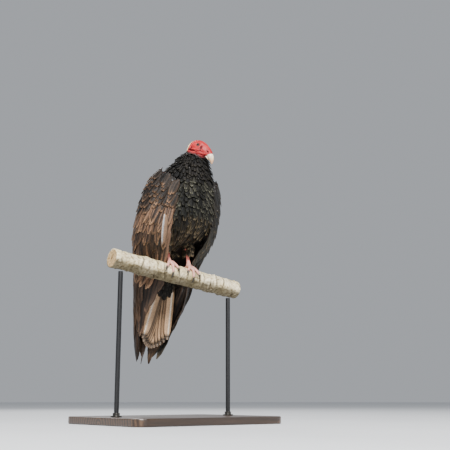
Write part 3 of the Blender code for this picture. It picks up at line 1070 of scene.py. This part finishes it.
class Coat:
    """All the feathers of the bird."""

    def __init__(self) -> None:
        """Get the surfaces ready."""
        self.plumage = Plumage()
        self.body = PlumageFinish("body_plumage", 0.58, 0.18, 26.0).build()
        self.wing = PlumageFinish("wing_plumage", 0.50, 0.24, 34.0).build()
        self.quill = PlumageFinish("flight_feathers", 0.48, 0.25, 60.0).build()

    def uncovered(self, rise: float, turn: float) -> bool:
        """Whether a place on the trunk shows between the wings.

        Args:
            rise: its height above the branch's axis.
            turn: its turn round the body, in radians.

        Returns:
            True where no wing covers it.
        """
        side = Side.LEFT if cos(turn) > 0 else Side.RIGHT
        surface = self.plumage.wings[side]
        return not (surface.is_covered(rise, turn + 0.12) and surface.is_covered(rise, turn - 0.12))

    def make_trunk(self) -> None:
        """Small feathers of the breast, belly, back and neck."""
        p = self.plumage
        vanes = Vanes("coat_trunk", 6, 5)
        p.cover(vanes, p.trunk,
                Tract(-0.018, 0.07, 0, 359, 0.036, 0.018, lift=0.002, outline=Outline.TUFT), RUFF,
                keep=self.uncovered)
        p.cover(vanes, p.trunk,
                Tract(0.075, 0.165, 180, 360, 0.028, 0.013, lift=0.004, outline=Outline.TUFT), BREAST,
                keep=self.uncovered)
        # Upper breast: painted sheen.
        p.cover(vanes, p.trunk,
                Tract(0.165, 0.250, 180, 360, 0.024, 0.013, lift=0.003), BREAST_PAINTED_SHEEN, keep=self.uncovered)
        p.cover(vanes, p.trunk,
                Tract(0.250, 0.264, 180, 360, 0.022, 0.013, lift=0.003), RUFF, keep=self.uncovered)
        p.cover(vanes, p.trunk,
                Tract(0.08, 0.275, 0, 180, 0.036, 0.023, lift=0.002), MANTLE, keep=self.uncovered)
        finish_piece(vanes.build(), self.body, [])
        ruff = Vanes("coat_neck", 6, 5)
        p.cover(ruff, p.trunk, Tract(0.262, 0.292, 0, 359, 0.020, 0.011, lift=0.004, sunk=0.003), RUFF)
        p.cover(ruff, p.trunk, Tract(0.290, 0.316, 0, 359, 0.015, 0.0075, lift=0.004, sunk=0.002,
                                     outline=Outline.TUFT), RUFF)
        finish_piece(ruff.build(), self.body, [])

    def make_thighs(self) -> None:
        """Loose feathers that hang over the thighs."""
        p = self.plumage
        vanes = Vanes("coat_thighs", 6, 5)
        for side in Side:
            tract = Tract(0.078, 0.142, 0, 359, 0.026, 0.012, lift=0.001, sunk=0.003, outline=Outline.TUFT)
            p.cover(vanes, p.thighs[side], tract, BREAST)
        finish_piece(vanes.build(), self.body, [])

    def make_wings(self) -> None:
        """Rows of coverts and scapulars over each folded wing."""
        p = self.plumage
        for side in Side:
            surface = p.wings[side]
            vanes = Vanes(f"coat_wing_{side.word}", 9, 7, 0.0008)
            rows = (
                Tract(-0.085, 0.060, -50, 84, 0.110, 0.021, 5, 0.34, 0.62, 0.002, 0.0010, 0.22, Outline.LONG),
                Tract(0.060, 0.135, -52, 74, 0.086, 0.019, 7, 0.25, 0.66, 0.003, 0.0020, 0.25, Outline.LONG),
                Tract(0.135, 0.190, -54, 62, 0.060, 0.017, 10, 0.28, 0.68, 0.003, 0.0025, 0.28, Outline.LONG),
                Tract(0.190, 0.240, -50, 52, 0.038, 0.019, 14, 0.36, 0.70, 0.003, 0.0025),
                Tract(0.238, 0.272, -30, 36, 0.027, 0.017, 10, 0.40, 0.72, 0.003, 0.0020),
            )
            # The right wing takes the plumage's own browns; the left wing takes one dark copy, painted shade
            # of the far side.
            wing_dyes = (FLIGHT, COVERT, COVERT, SHOULDER, SHOULDER) if side is Side.RIGHT else (LEFT_WING_PAINTED_SHADE,) * 5
            for tract, dye in zip(rows, wing_dyes):
                p.cover(vanes, surface, tract, dye, side, surface.is_covered)
            if side is Side.RIGHT:
                self.front_feather(vanes, surface)
            finish_piece(vanes.build(), self.wing, [])

    @staticmethod
    def front_feather(vanes: Vanes, surface: BodySurface) -> None:
        """One tan feather with a pale shaft that lies over the right wing's front edge.

        Args:
            vanes: the piece that takes it.
            surface: the right wing's surface.
        """
        t = np.linspace(0, 1, vanes.stations)
        rises, turns = 0.142 - 0.072 * t, pi - np.radians(-37 - 2 * t)
        out = surface.normal(rises, turns)
        centres = surface.place(rises, turns) + out * 0.0042
        half = 0.0085 * Outline.LONG.widths(t)
        tints = FRONT.paint(t, np.linspace(-1, 1, vanes.across), 1.0, np.random.default_rng(SEED + 9))
        vanes.add(centres, out, np.stack([half * 0.25, half * 1.7], -1), tints, 0.15)

    def make_primaries(self) -> None:
        """The long flight feathers that run down to the wing tips."""
        p = self.plumage
        for side in Side:
            vanes = Vanes(f"primaries_{side.word}_vanes", 18, 9, 0.0012)
            surface = p.wings[side]
            count = 13
            for i in range(count):
                share = i / (count - 1)
                start, end = -44 + 118 * share, -38 + 92 * share**0.9
                tip = -0.050 - 0.176 * share**0.65
                self.quill_feather(vanes, surface, side, (0.045, start), (tip, end), 0.030 - 0.008 * share,
                                   -0.0010 - 0.0006 * (count - i) * 0.25)
            finish_piece(vanes.build(), self.quill, [f"primaries_{side.word}"])

    def quill_feather(self, vanes: Vanes, surface: BodySurface, side: Side, root: tuple[float, float],
                      tip: tuple[float, float], width: float, inset: float) -> None:
        """One long feather between two places on a wing.

        Args:
            vanes: the piece that takes it.
            surface: the wing's surface.
            side: the wing's side.
            root: its root's rise and angle in degrees.
            tip: its tip's rise and angle in degrees.
            width: its full width.
            inset: how far its shaft lies off the surface, below zero for inside.
        """
        t = np.linspace(0, 1, vanes.stations)
        rises = root[0] + (tip[0] - root[0]) * t
        angles = np.radians(root[1] + (tip[1] - root[1]) * t**1.2)
        turns = pi - angles if side is Side.RIGHT else angles
        out = surface.normal(rises, turns)
        centres = surface.place(rises, turns) + out * inset
        half = width / 2 * Outline.LONG.widths(t)
        pair = np.stack([half * 0.8, half * 1.2], -1) * (1 + 0.03 * p_noise(self.plumage.rng, t))
        tints = FLIGHT.paint(t, np.linspace(-1, 1, vanes.across), 0.8 + 0.3 * self.plumage.rng.random(),
                             self.plumage.rng)
        vanes.add(centres, out, pair, tints, 0.12)


def p_noise(rng: np.random.Generator, t: np.ndarray) -> np.ndarray:
    """A small random number for both sides of each station."""
    return rng.normal(size=(len(t), 2))


@dataclass
class Tail:
    """Twelve tail feathers that overlap as a shallow fan, seen from below."""

    root_rise: float = -0.012
    root_half: float = 0.020
    tip_half: float = 0.040
    tip_rise: float = -0.186
    corner: float = 0.024
    width: float = 0.030
    feathers: int = 12
    sheet_start: float = 0.0515  # the fan's y at the branch
    sheet_lean: float = 0.3620  # how much that falls with the rise
    arch: float = 0.010  # how far the outer feathers lie in front

    def build(self, material: bpy.types.Material) -> None:
        """Lay the feathers: the outer ones lowest, facing the front.

        Args:
            material: their finish.
        """
        rng = np.random.default_rng(SEED + 5)
        vanes = Vanes("tail_feathers", 18, 9, 0.0009)
        t = np.linspace(0, 1, vanes.stations)
        for i in range(self.feathers):
            across = -1 + 2 * i / (self.feathers - 1)
            tip = self.tip_rise + self.corner * across**2
            x = across * (self.root_half + (self.tip_half - self.root_half) * t**0.8)
            rise = self.root_rise + (tip - self.root_rise) * t
            layer = 0.0030 * (0.5 - abs(across))
            y = self.sheet_start - self.sheet_lean * rise - self.arch * across**2 * (0.5 + 0.5 * t) + layer
            centres = np.stack([x, y, PERCH_HEIGHT + rise], -1)
            out = np.tile(np.array([0.15 * across, -0.93, -0.36]), (len(t), 1))
            half = self.width / 2 * Outline.LONG.widths(t)
            outer = 0.75 if across > 0 else 1.25
            pair = np.stack([half * (2 - outer), half * outer], -1)
            tints = TAIL_UNDER.paint(t, np.linspace(-1, 1, vanes.across), 1 + 0.10 * rng.normal(), rng)
            # Painted shade: dark vane edges for the gaps between the overlapping feathers, and a dark band
            # just inside each tip for the shade between the nested tips.
            tints[:, 0] = tints[:, -1] = (0.030, 0.020, 0.014)
            tints[-2] = tints[-2] * 0.06
            vanes.add(centres, out, pair, tints, 0.06)
        finish_piece(vanes.build(), material, ["tail"])


# ---------------------------------------------------------------- skin
class Skin:
    """One skin over all the flesh, with the head's folds and lids."""

    nodes = ["trunk", "neck", "head", "wing_right", "wing_left", "thigh_right", "thigh_left",
             "leg_right", "leg_left", "foot_right", "foot_left"]
    bare = ["head", "leg_right", "leg_left", "foot_right", "foot_left"]
    coat_depth = 0.0042
    voxel = 0.0026
    opening = 0.0052  # radius of the lids' opening
    lid_ring, lid_height = 0.0059, 0.0013
    crease_ring, crease_height = 0.0086, 0.0005
    nape_height, cheek_height, crown_height, brow_height = 0.00055, 0.00070, 0.00025, 0.0009
    lore_place, lore_depth = (-0.0160, 0.0060), 0.0024  # y and z in the head's own frame
    ear_place, ear_depth = (0.0105, -0.0060), 0.0024
    nostril_place, nostril_depth = (-0.0362, 0.0035), 0.0024
    gape_depth, jowl_depth, grain_height = 0.0011, 0.0017, 0.00022
    # The pale red paints highlight on the head's wrinkle ridges, and the darkest red paints shade in its
    # hollows.
    red, pale, deep = (0.36, 0.006, 0.011), (0.66, 0.060, 0.055), (0.035, 0.002, 0.003)
    nape_cream, lid_red = (0.88, 0.70, 0.36), (0.50, 0.050, 0.045)
    leg_pink, leg_chalk, under_coat = (0.74, 0.22, 0.18), (0.72, 0.50, 0.40), (0.016, 0.013, 0.011)
    nape_edge = 0.0205  # y where the cream band starts

    def build(self) -> bpy.types.Object:
        """Remesh the flesh, sink the feathered part, refine the bare part and carve the head.

        Returns:
            The skin.
        """
        skin = copy_nodes("skin", self.nodes)
        apply_modifier(skin, "DISPLACE", strength=0.0007, mid_level=0.0)
        remesh(skin, self.voxel, 2)
        keep_largest(skin)
        self.refine(skin)
        self.shrink(skin)
        self.carve(skin)
        self.paint(skin)
        skin.data.shade_smooth()
        finish_piece(skin, SkinFinish().build(), self.nodes)
        return skin

    def near(self, points: np.ndarray, tree: BVHTree, reach: float) -> np.ndarray:
        """Distance from each point to a surface, up to a reach.

        Args:
            points: the points.
            tree: the surface.
            reach: the largest distance looked for.

        Returns:
            One distance a point.
        """
        far = np.full(len(points), reach)
        for i, point in enumerate(points):
            hit = tree.find_nearest(Vector(point), reach)
            if hit[0] is not None:
                far[i] = hit[3]
        return far

    def refine(self, skin: bpy.types.Object) -> None:
        """Split the faces of the head twice and of the feet once.

        Args:
            skin: the skin.
        """
        for group, rounds in ((("head",), 2), (self.bare[1:], 1)):
            tree = tree_of(list(group))
            for _ in range(rounds):
                points = points_of(skin.data)
                mask = self.near(points, tree, 0.004) < 0.0035
                shape = bmesh.new()
                shape.from_mesh(skin.data)
                shape.verts.ensure_lookup_table()
                edges = [e for e in shape.edges if mask[e.verts[0].index] and mask[e.verts[1].index]]
                bmesh.ops.subdivide_edges(shape, edges=edges, cuts=1, use_grid_fill=True, smooth=0.4)
                shape.to_mesh(skin.data)
                shape.free()

    def shrink(self, skin: bpy.types.Object) -> None:
        """Bring the bare parts onto the CAD's surface and sink the rest by the coat's depth.

        Args:
            skin: the skin.
        """
        points, normals = points_of(skin.data), normals_of(skin.data)
        bare = tree_of(self.bare)
        feathered = tree_of([n for n in self.nodes if n not in self.bare])
        to_bare = self.near(points, bare, 0.02)
        inside = tree_of(self.nodes)
        own = self.near(points, feathered, 0.02)
        share = np.clip((to_bare - own + 0.001) / 0.004, 0, 1)
        depth = 0.0007 + self.coat_depth * share
        for i in np.nonzero(share > 0.01)[0]:
            start = Vector(points[i] - normals[i] * 0.0015)
            hit = inside.ray_cast(start, -Vector(normals[i]), 0.03)
            if hit[0] is not None:
                depth[i] = min(depth[i], 0.35 * (hit[3] + 0.0015))
        self.bare_share = 1 - share
        move_points(skin.data, points - normals * depth[:, None])

    def carve(self, skin: bpy.types.Object) -> None:
        """Fold and wrinkle the head, and open the lids round the eyes.

        Args:
            skin: the skin.
        """
        points, normals = points_of(skin.data), normals_of(skin.data)
        inverse = np.array(HEAD_FRAME.inverted())
        local = points @ inverse[:3, :3].T + inverse[:3, 3]
        y, z, x = local[:, 1], local[:, 2], np.abs(local[:, 0])
        head = np.clip((0.034 - np.linalg.norm(local * [1, 0.85, 1], axis=1)) / 0.006, 0, 1)
        head = np.maximum(head, np.clip((-0.02 - y) / 0.004, 0, 1) * (np.linalg.norm(local, axis=1) < 0.055))
        head *= self.bare_share
        eye = np.array(EYE_PLACE)
        gaze = np.array(GAZE)
        gaze /= np.linalg.norm(gaze)
        offset = np.stack([x, y, z], -1) - eye
        ahead = offset @ gaze
        ring = np.linalg.norm(offset - ahead[:, None] * gaze, axis=1)
        front = (ahead > 0).astype(float)
        lid = np.exp(-(((ring - self.lid_ring) / 0.0010) ** 2)) * front
        fold = np.exp(-(((ring - self.crease_ring) / 0.0008) ** 2)) * front
        well = np.clip((self.opening - ring) / 0.0010, 0, 1) * front
        wobble = 0.0010 * smooth_noise(local, 0.012, 3)
        brow = np.exp(-(((z - 0.0150 + 0.25 * (y + 0.004)) / 0.0022) ** 2) - ((y + 0.006) / 0.012) ** 2)
        nape = np.sin((y + wobble) / 0.0021 * 1.9) * np.clip((y - 0.008) / 0.006, 0, 1)
        cheek_line = z + 0.0030 + 0.28 * (y + 0.010) + 2 * wobble
        cheek = np.sin(cheek_line / 0.0016) * np.clip((-0.001 - z) / 0.003, 0, 1)
        cheek = cheek * np.clip((0.024 - y) / 0.01, 0, 1)
        crown = np.sin((x + 1.5 * wobble) / 0.0017) * np.clip((z - 0.012) / 0.005, 0, 1) * 0.5
        before, above = y - self.lore_place[0], z - self.lore_place[1]
        lore = np.exp(-(((before - 0.22 * above) / 0.0021) ** 2) - (above / 0.0060) ** 2) * (x > 0.006)
        before, above = y - self.ear_place[0], z - self.ear_place[1]
        ear = np.exp(-((before / 0.0019) ** 2) - (above / 0.0027) ** 2) * (x > 0.008)
        before, above = y - self.nostril_place[0], z - self.nostril_place[1]
        along, over = 0.88 * before + 0.47 * above, 0.88 * above - 0.47 * before
        nostril = np.exp(-((along / 0.0032) ** 2) - (over / 0.0015) ** 2) * (x > 0.003)
        jowl = np.exp(-(((z + 0.0115 + 0.10 * (y - 0.012)) / 0.0011) ** 2))
        jowl = jowl * np.clip((0.021 - y) / 0.003, 0, 1)
        jowl = jowl * np.clip((y + 0.016) / 0.006, 0, 1)
        gape = np.exp(-(((z + 0.0125 + 0.35 * (y + 0.03)) / 0.0008) ** 2))
        gape = gape * np.clip((-0.014 - y) / 0.004, 0, 1)
        calm = 1 - np.clip(1 - (ring - 0.0062) / 0.004, 0, 1) * front
        high = (self.nape_height * nape + self.cheek_height * cheek + self.crown_height * crown) * calm
        high += self.lid_height * lid + self.crease_height * fold + self.brow_height * brow * calm
        high -= self.lore_depth * lore + self.ear_depth * ear + self.gape_depth * gape
        high -= self.nostril_depth * nostril + self.jowl_depth * jowl
        high += self.grain_height * smooth_noise(local, 0.004, 4)
        moved = points + normals * (high * head)[:, None]
        sunk = (well * head)[:, None]
        side = np.sign(local[:, 0])[:, None] * np.array([1, 0, 0]) + np.array([0, 1, 1])
        centre_local = eye * side
        gaze_local = gaze * side
        depth = ((local - centre_local) * gaze_local).sum(1)
        target = local - gaze_local * np.maximum(depth - 0.0010, 0)[:, None]
        forward = np.array(HEAD_FRAME)
        target = target @ forward[:3, :3].T + forward[:3, 3]
        move_points(skin.data, moved * (1 - sunk) + target * sunk)
        self.marks = dict(local=local, lid=lid, nape=nape, cheek=cheek, crown=crown, lore=lore,
                          ear=ear, gape=gape, calm=calm, nostril=nostril, jowl=jowl)

    def paint(self, skin: bpy.types.Object) -> None:
        """Colour the skin: crimson head with painted highlight on its wrinkle ridges and painted shade in its
        hollows and creases, pink and chalky legs, dark under the feathers.

        Args:
            skin: the skin.
        """
        m = self.marks
        points = points_of(skin.data)
        local = m["local"]
        rise = points[:, 2] - PERCH_HEIGHT
        red, pale, deep = np.array(self.red), np.array(self.pale), np.array(self.deep)
        # Painted highlight: the head's wrinkle ridges paler and its troughs redder, over a random tone.
        ridge_highlight_and_tone = np.clip(0.22 + 0.38 * (m["nape"] + m["cheek"] + m["crown"]) * m["calm"]
                        + 0.35 * smooth_noise(local, 0.010, 8), 0, 1)[:, None]
        tint = red * (1 - ridge_highlight_and_tone) + pale * ridge_highlight_and_tone
        # Painted shade: lore, ear, gape, nostril, jowl and the cheek creases darkened.
        hollow_shade = np.clip(m["lore"] * 1.6 + m["ear"] * 1.8 + m["gape"] * 0.9
                         + m["nostril"] * 1.6 + m["jowl"] * 1.1
                         + 0.5 * np.clip(-m["cheek"], 0, 1) * m["calm"], 0, 1)[:, None]
        tint = tint * (1 - hollow_shade) + deep * hollow_shade
        nape_band = np.clip((local[:, 1] - self.nape_edge) / 0.0016, 0, 1)[:, None]
        tint = tint * (1 - nape_band) + np.array(self.nape_cream) * nape_band
        lid = np.clip(m["lid"], 0, 1)[:, None] * 0.7
        tint = tint * (1 - lid) + np.array(self.lid_red) * lid
        chalk = np.clip((0.050 - rise) / 0.020, 0, 1)[:, None] * 0.6
        mottle = (0.5 + 0.5 * smooth_noise(points, 0.006, 12))[:, None]
        leg = np.array(self.leg_pink) * (1 - chalk) + np.array(self.leg_chalk) * chalk
        leg = leg * (0.8 + 0.3 * mottle)
        bare = np.where((rise > 0.20)[:, None], tint, leg)
        under = np.array(self.under_coat)
        share = self.bare_share[:, None]
        write_colours(skin.data, "Tint", bare * share + under * (1 - share))


# ---------------------------------------------------------------- eyes, bill and claws
class Eyes:
    """The two eyeballs."""

    def build(self) -> None:
        """Make each eye as a fine ball with a slight cornea."""
        for side in Side:
            flip = Vector((side.value, 1, 1))
            centre = HEAD_FRAME @ Vector([a * b for a, b in zip(EYE_PLACE, flip)])
            gaze = HEAD_FRAME.to_3x3() @ Vector([a * b for a, b in zip(GAZE, flip)]).normalized()
            deselect()
            bpy.ops.mesh.primitive_uv_sphere_add(segments=48, ring_count=32,
                                                 radius=EYE_RADIUS, location=centre)
            ball = bpy.context.object
            ball.name = f"eyeball_{side.word}"
            activate(ball)
            bpy.ops.object.transform_apply(location=True, rotation=True, scale=True)
            points = points_of(ball.data)
            along = (points - np.array(centre)) @ np.array(gaze) / EYE_RADIUS
            bulge = np.clip((along - 0.80) / 0.20, 0, 1)[:, None] ** 0.7 * 0.0004
            move_points(ball.data, points + np.array(gaze) * bulge)
            ball.data.shade_smooth()
            finish = EyeFinish(f"eye_{side.word}", centre, gaze)
            finish_piece(ball, finish.build(), [f"eye_{side.word}"])


class Bill:
    """The ivory bill's two halves and the claws, smoothed from their solids."""

    closing = Vector((0, 0.0008, 0.0052))  # brings the lower half against the upper

    def build(self) -> None:
        """Refine each horn piece."""
        low = HEAD_AT.z - 0.040
        ivory = ((0.0, (0.62, 0.36, 0.20)), (0.25, (0.80, 0.62, 0.42)), (0.55, (0.86, 0.78, 0.62)),
                 (1.0, (0.88, 0.80, 0.66)))
        horn = HornFinish("ivory_bill", ivory, low, HEAD_AT.z - 0.012, 0.32).build()
        for name in ("bill_upper", "bill_lower"):
            piece = copy_nodes(name + "_horn", [name])
            remesh(piece, 0.0006, 6)
            if name == "bill_lower":
                move_points(piece.data, points_of(piece.data) + np.array(HEAD_FRAME.to_3x3() @ self.closing))
            piece.data.shade_smooth()
            finish_piece(piece, horn, [name])
        dark = ((0.0, (0.020, 0.017, 0.014)), (0.7, (0.045, 0.036, 0.028)), (1.0, (0.12, 0.09, 0.07)))
        claw = HornFinish("claw_horn", dark, PERCH_HEIGHT - 0.02, PERCH_HEIGHT + 0.03, 0.30).build()
        for side in Side:
            nodes = [f"claw_{toe}_{side.word}" for toe in ("inner", "middle", "outer", "hind")]
            piece = copy_nodes(f"claws_{side.word}", nodes)
            remesh(piece, 0.0006, 4)
            piece.data.shade_smooth()
            finish_piece(piece, claw, nodes)


# ---------------------------------------------------------------- branch and stand
class Branch:
    """The cut branch with ring scars, flakes and sawn ends."""

    length = 0.400
    scars = (-0.182, -0.157, -0.131, -0.106, -0.079, -0.057, 0.002, 0.064, 0.089, 0.112, 0.139, 0.163, 0.185)
    scar_width, scar_height, wrinkle_height, fine_height = 0.0022, 0.0015, 0.0011, 0.0006

    def build(self) -> None:
        """Refine the solid and raise its bark."""
        branch = copy_nodes("branch_bark", ["perch_branch"])
        remesh(branch, 0.0016, 2)
        points, normals = points_of(branch.data), normals_of(branch.data)
        relative = points - [0, 0, PERCH_HEIGHT]
        along = relative[:, 0] * cos(BRANCH_SLOPE) - relative[:, 2] * sin(BRANCH_SLOPE)
        up = relative[:, 0] * sin(BRANCH_SLOPE) + relative[:, 2] * cos(BRANCH_SLOPE)
        turn = np.arctan2(up, relative[:, 1])
        end = np.clip((np.abs(along) - (self.length / 2 - 0.003)) / 0.002, 0, 1)
        ring = np.zeros(len(points))
        for place in self.scars:
            waver = 0.006 * np.sin(turn * 1.0 + place * 60)
            gap = along - place - waver - 0.003 * np.sin(turn * 3 + place * 90)
            ring += np.exp(-((gap / self.scar_width) ** 2)) - 0.6 * np.exp(-(((gap - 0.005) / 0.002) ** 2))
        ring *= np.clip(0.65 + 0.9 * smooth_noise(relative, 0.020, 23), 0, 1.5)
        wrinkle = smooth_noise(relative * [1.0, 2.2, 2.2], 0.030, 21)
        fine = smooth_noise(relative, 0.008, 22)
        feet = np.exp(-((np.abs(relative[:, 0]) - 0.033) / 0.028) ** 4) * (up > -0.012)
        high = (self.scar_height * ring + self.wrinkle_height * wrinkle + self.fine_height * fine)
        high = high * (1 - end) * (1 - 0.85 * feet)
        move_points(branch.data, points + normals * (high - 0.0002)[:, None])
        self.paint(branch, relative, up, end, ring, wrinkle)
        branch.data.shade_smooth()
        finish_piece(branch, BarkFinish().build(), ["perch_branch"])

    @staticmethod
    def paint(branch: bpy.types.Object, relative: np.ndarray, up: np.ndarray,
              end: np.ndarray, ring: np.ndarray,
              wrinkle: np.ndarray) -> None:
        """Cream above with olive stains, painted shade beneath and in the scar grooves, and pale sawn ends
        with growth rings.

        Args:
            branch: the branch.
            relative: places from the branch's middle.
            up: height over its axis.
            end: 1 on the sawn faces.
            ring: how far the scars rise.
            wrinkle: the bark's slow waves.
        """
        cream, olive = np.array((0.90, 0.80, 0.58)), np.array((0.42, 0.33, 0.08))
        dark = np.array((0.10, 0.080, 0.045))
        stain = np.clip(0.45 + 0.6 * smooth_noise(relative, 0.035, 31), 0, 1)[:, None]
        tint = cream * (1 - 0.55 * stain) + olive * 0.55 * stain
        # Painted shade: the underside darkens towards the bottom.
        below = np.clip(-(up + 0.002) / 0.009, 0, 1)[:, None] * 0.85
        tint = tint * (1 - below) + dark * below
        # Painted shade in the scar grooves and the wrinkles' hollows.
        groove_shade = np.clip(-ring * 1.6 - 0.35 * wrinkle, 0, 0.85)[:, None]
        tint = tint * (1 - groove_shade) + dark * groove_shade
        reach = np.hypot(relative[:, 1], up)
        growth = (0.5 + 0.5 * np.sin(reach / 0.00045))[:, None]
        wood = np.array((0.60, 0.42, 0.22)) * (0.75 + 0.30 * growth)
        pith = np.clip((0.0035 - reach) / 0.001, 0, 1)[:, None]
        wood = wood * (1 - pith) + np.array((0.16, 0.09, 0.04)) * pith
        face = end[:, None] * (reach < 0.0225)[:, None]
        write_colours(branch.data, "Tint", tint * (1 - face) + wood * face)


class Stand:
    """The base board and the two rods, with a collar where each rod enters the base."""

    rod_places = (-0.172, 0.172)
    rod_radius = 0.006
    base_top = 0.018

    def build(self) -> None:
        """Dress the CAD nodes and add the collars."""
        board = BoardFinish().build()
        steel = MetalFinish("painted_rod", (0.035, 0.035, 0.036), 0.38).build()
        brass = MetalFinish("rod_collar", (0.060, 0.056, 0.050), 0.30).build()
        for node, finish in (("stand_base", board), ("stand_rod_right", steel), ("stand_rod_left", steel)):
            obj = frame["nodes"][node]
            obj.data.materials.clear()
            obj.data.materials.append(finish)
        for side, x in zip(Side, self.rod_places):
            self.collar(f"rod_collar_{side.word}", x, brass)

    def collar(self, name: str, x: float, finish: bpy.types.Material) -> None:
        """A flanged ring round a rod's foot, turned from a flat disc.

        Args:
            name: the piece's name.
            x: the rod's place.
            finish: its material.
        """
        deselect()
        height = 0.010
        bpy.ops.mesh.primitive_cylinder_add(vertices=64, radius=0.0135, depth=0.003,
                                            location=(x, 0, self.base_top + 0.0015))
        ring = bpy.context.object
        ring.name = name
        bpy.ops.object.mode_set(mode="EDIT")
        shape = bmesh.from_edit_mesh(ring.data)
        for face in shape.faces:
            face.select = face.normal.z > 0.9
        bmesh.update_edit_mesh(ring.data)
        bpy.ops.mesh.inset(thickness=0.0048)
        bpy.ops.mesh.extrude_region_move(TRANSFORM_OT_translate={"value": (0, 0, height - 0.003)})
        bpy.ops.object.mode_set(mode="OBJECT")
        activate(ring)
        bpy.ops.object.transform_apply(location=True, rotation=True, scale=True)
        apply_modifier(ring, "BEVEL", width=0.0006, segments=3, limit_method="ANGLE", angle_limit=radians(40))
        activate(ring)
        bpy.ops.object.shade_smooth_by_angle(angle=radians(35))
        finish_piece(ring, finish, [])


# ---------------------------------------------------------------- studio
@dataclass(frozen=True)
class Studio:
    """Pale floor, soft lamps and the camera."""

    azimuth: float = -35.0
    distance: float = 2.0
    camera_height: float = 0.060
    pitch: float = 12.85
    yaw: float = 3.63
    lens: float = 61.1

    def build(self) -> None:
        """Add everything that isn't part of the object."""
        self.floor()
        self.camera()
        self.lamp("key", (-1.55, -2.30, 2.60), 0.45, 270)
        self.lamp("fill", (1.9, -1.6, 0.9), 1.6, 9)
        self.lamp("rim", (0.8, 2.2, 2.0), 1.2, 34)
        self.lamp("low_fill", (-1.2, -2.4, 0.25), 1.2, 3)
        world = bpy.data.worlds.new("studio")
        bpy.context.scene.world = world
        world.use_nodes = True
        world.node_tree.nodes["Background"].inputs["Color"].default_value = (0.80, 0.84, 0.90, 1)
        world.node_tree.nodes["Background"].inputs["Strength"].default_value = 0.50

    def floor(self) -> None:
        """A wide pale disc under the stand."""
        deselect()
        bpy.ops.mesh.primitive_circle_add(vertices=96, radius=14, fill_type="NGON", location=(0, 0, -0.0005))
        floor = bpy.context.object
        floor.name = "floor"
        n = Nodes("pale_floor")
        n.colour(n.ramp(n.noise(n.objects(), 3.0), [(0.3, (0.70, 0.71, 0.72)), (0.7, (0.74, 0.75, 0.76))]))
        n.set(Roughness=0.85)
        floor.data.materials.append(n.material)

    def camera(self) -> None:
        """The camera low in front of the bird's right side, looking a little up."""
        turn = radians(self.azimuth)
        right = Vector((cos(turn), sin(turn), 0))
        back = Vector((sin(turn), -cos(turn), 0))
        ahead = -back * cos(radians(self.yaw)) + right * sin(radians(self.yaw))
        ahead = ahead * cos(radians(self.pitch)) + Vector((0, 0, sin(radians(self.pitch))))
        lens = bpy.data.cameras.new("camera")
        lens.lens = self.lens
        lens.clip_start = 0.05
        camera = bpy.data.objects.new("camera", lens)
        bpy.context.scene.collection.objects.link(camera)
        camera.location = back * self.distance + Vector((0, 0, self.camera_height))
        camera.rotation_euler = ahead.to_track_quat("-Z", "Y").to_euler()
        bpy.context.scene.camera = camera

    @staticmethod
    def lamp(name: str, place: Colour, size: float, power: float) -> None:
        """A square soft lamp aimed at the bird.

        Args:
            name: the lamp's name.
            place: where it stands.
            size: its side.
            power: its watts.
        """
        light = bpy.data.lights.new(name, "AREA")
        light.size = size
        light.energy = power
        lamp = bpy.data.objects.new(name, light)
        bpy.context.scene.collection.objects.link(lamp)
        lamp.location = place
        lamp.rotation_euler = (Vector((0, 0, 0.5)) - Vector(place)).to_track_quat("-Z", "Y").to_euler()


def main() -> None:
    """Build the whole visual model."""
    logging.basicConfig(level=logging.INFO, format="%(message)s")
    Studio().build()
    Stand().build()
    Branch().build()
    Skin().build()
    Eyes().build()
    Bill().build()
    coat = Coat()
    coat.make_trunk()
    coat.make_thighs()
    coat.make_wings()
    coat.make_primaries()
    Tail().build(coat.quill)


if __name__ == "__main__":
    main()
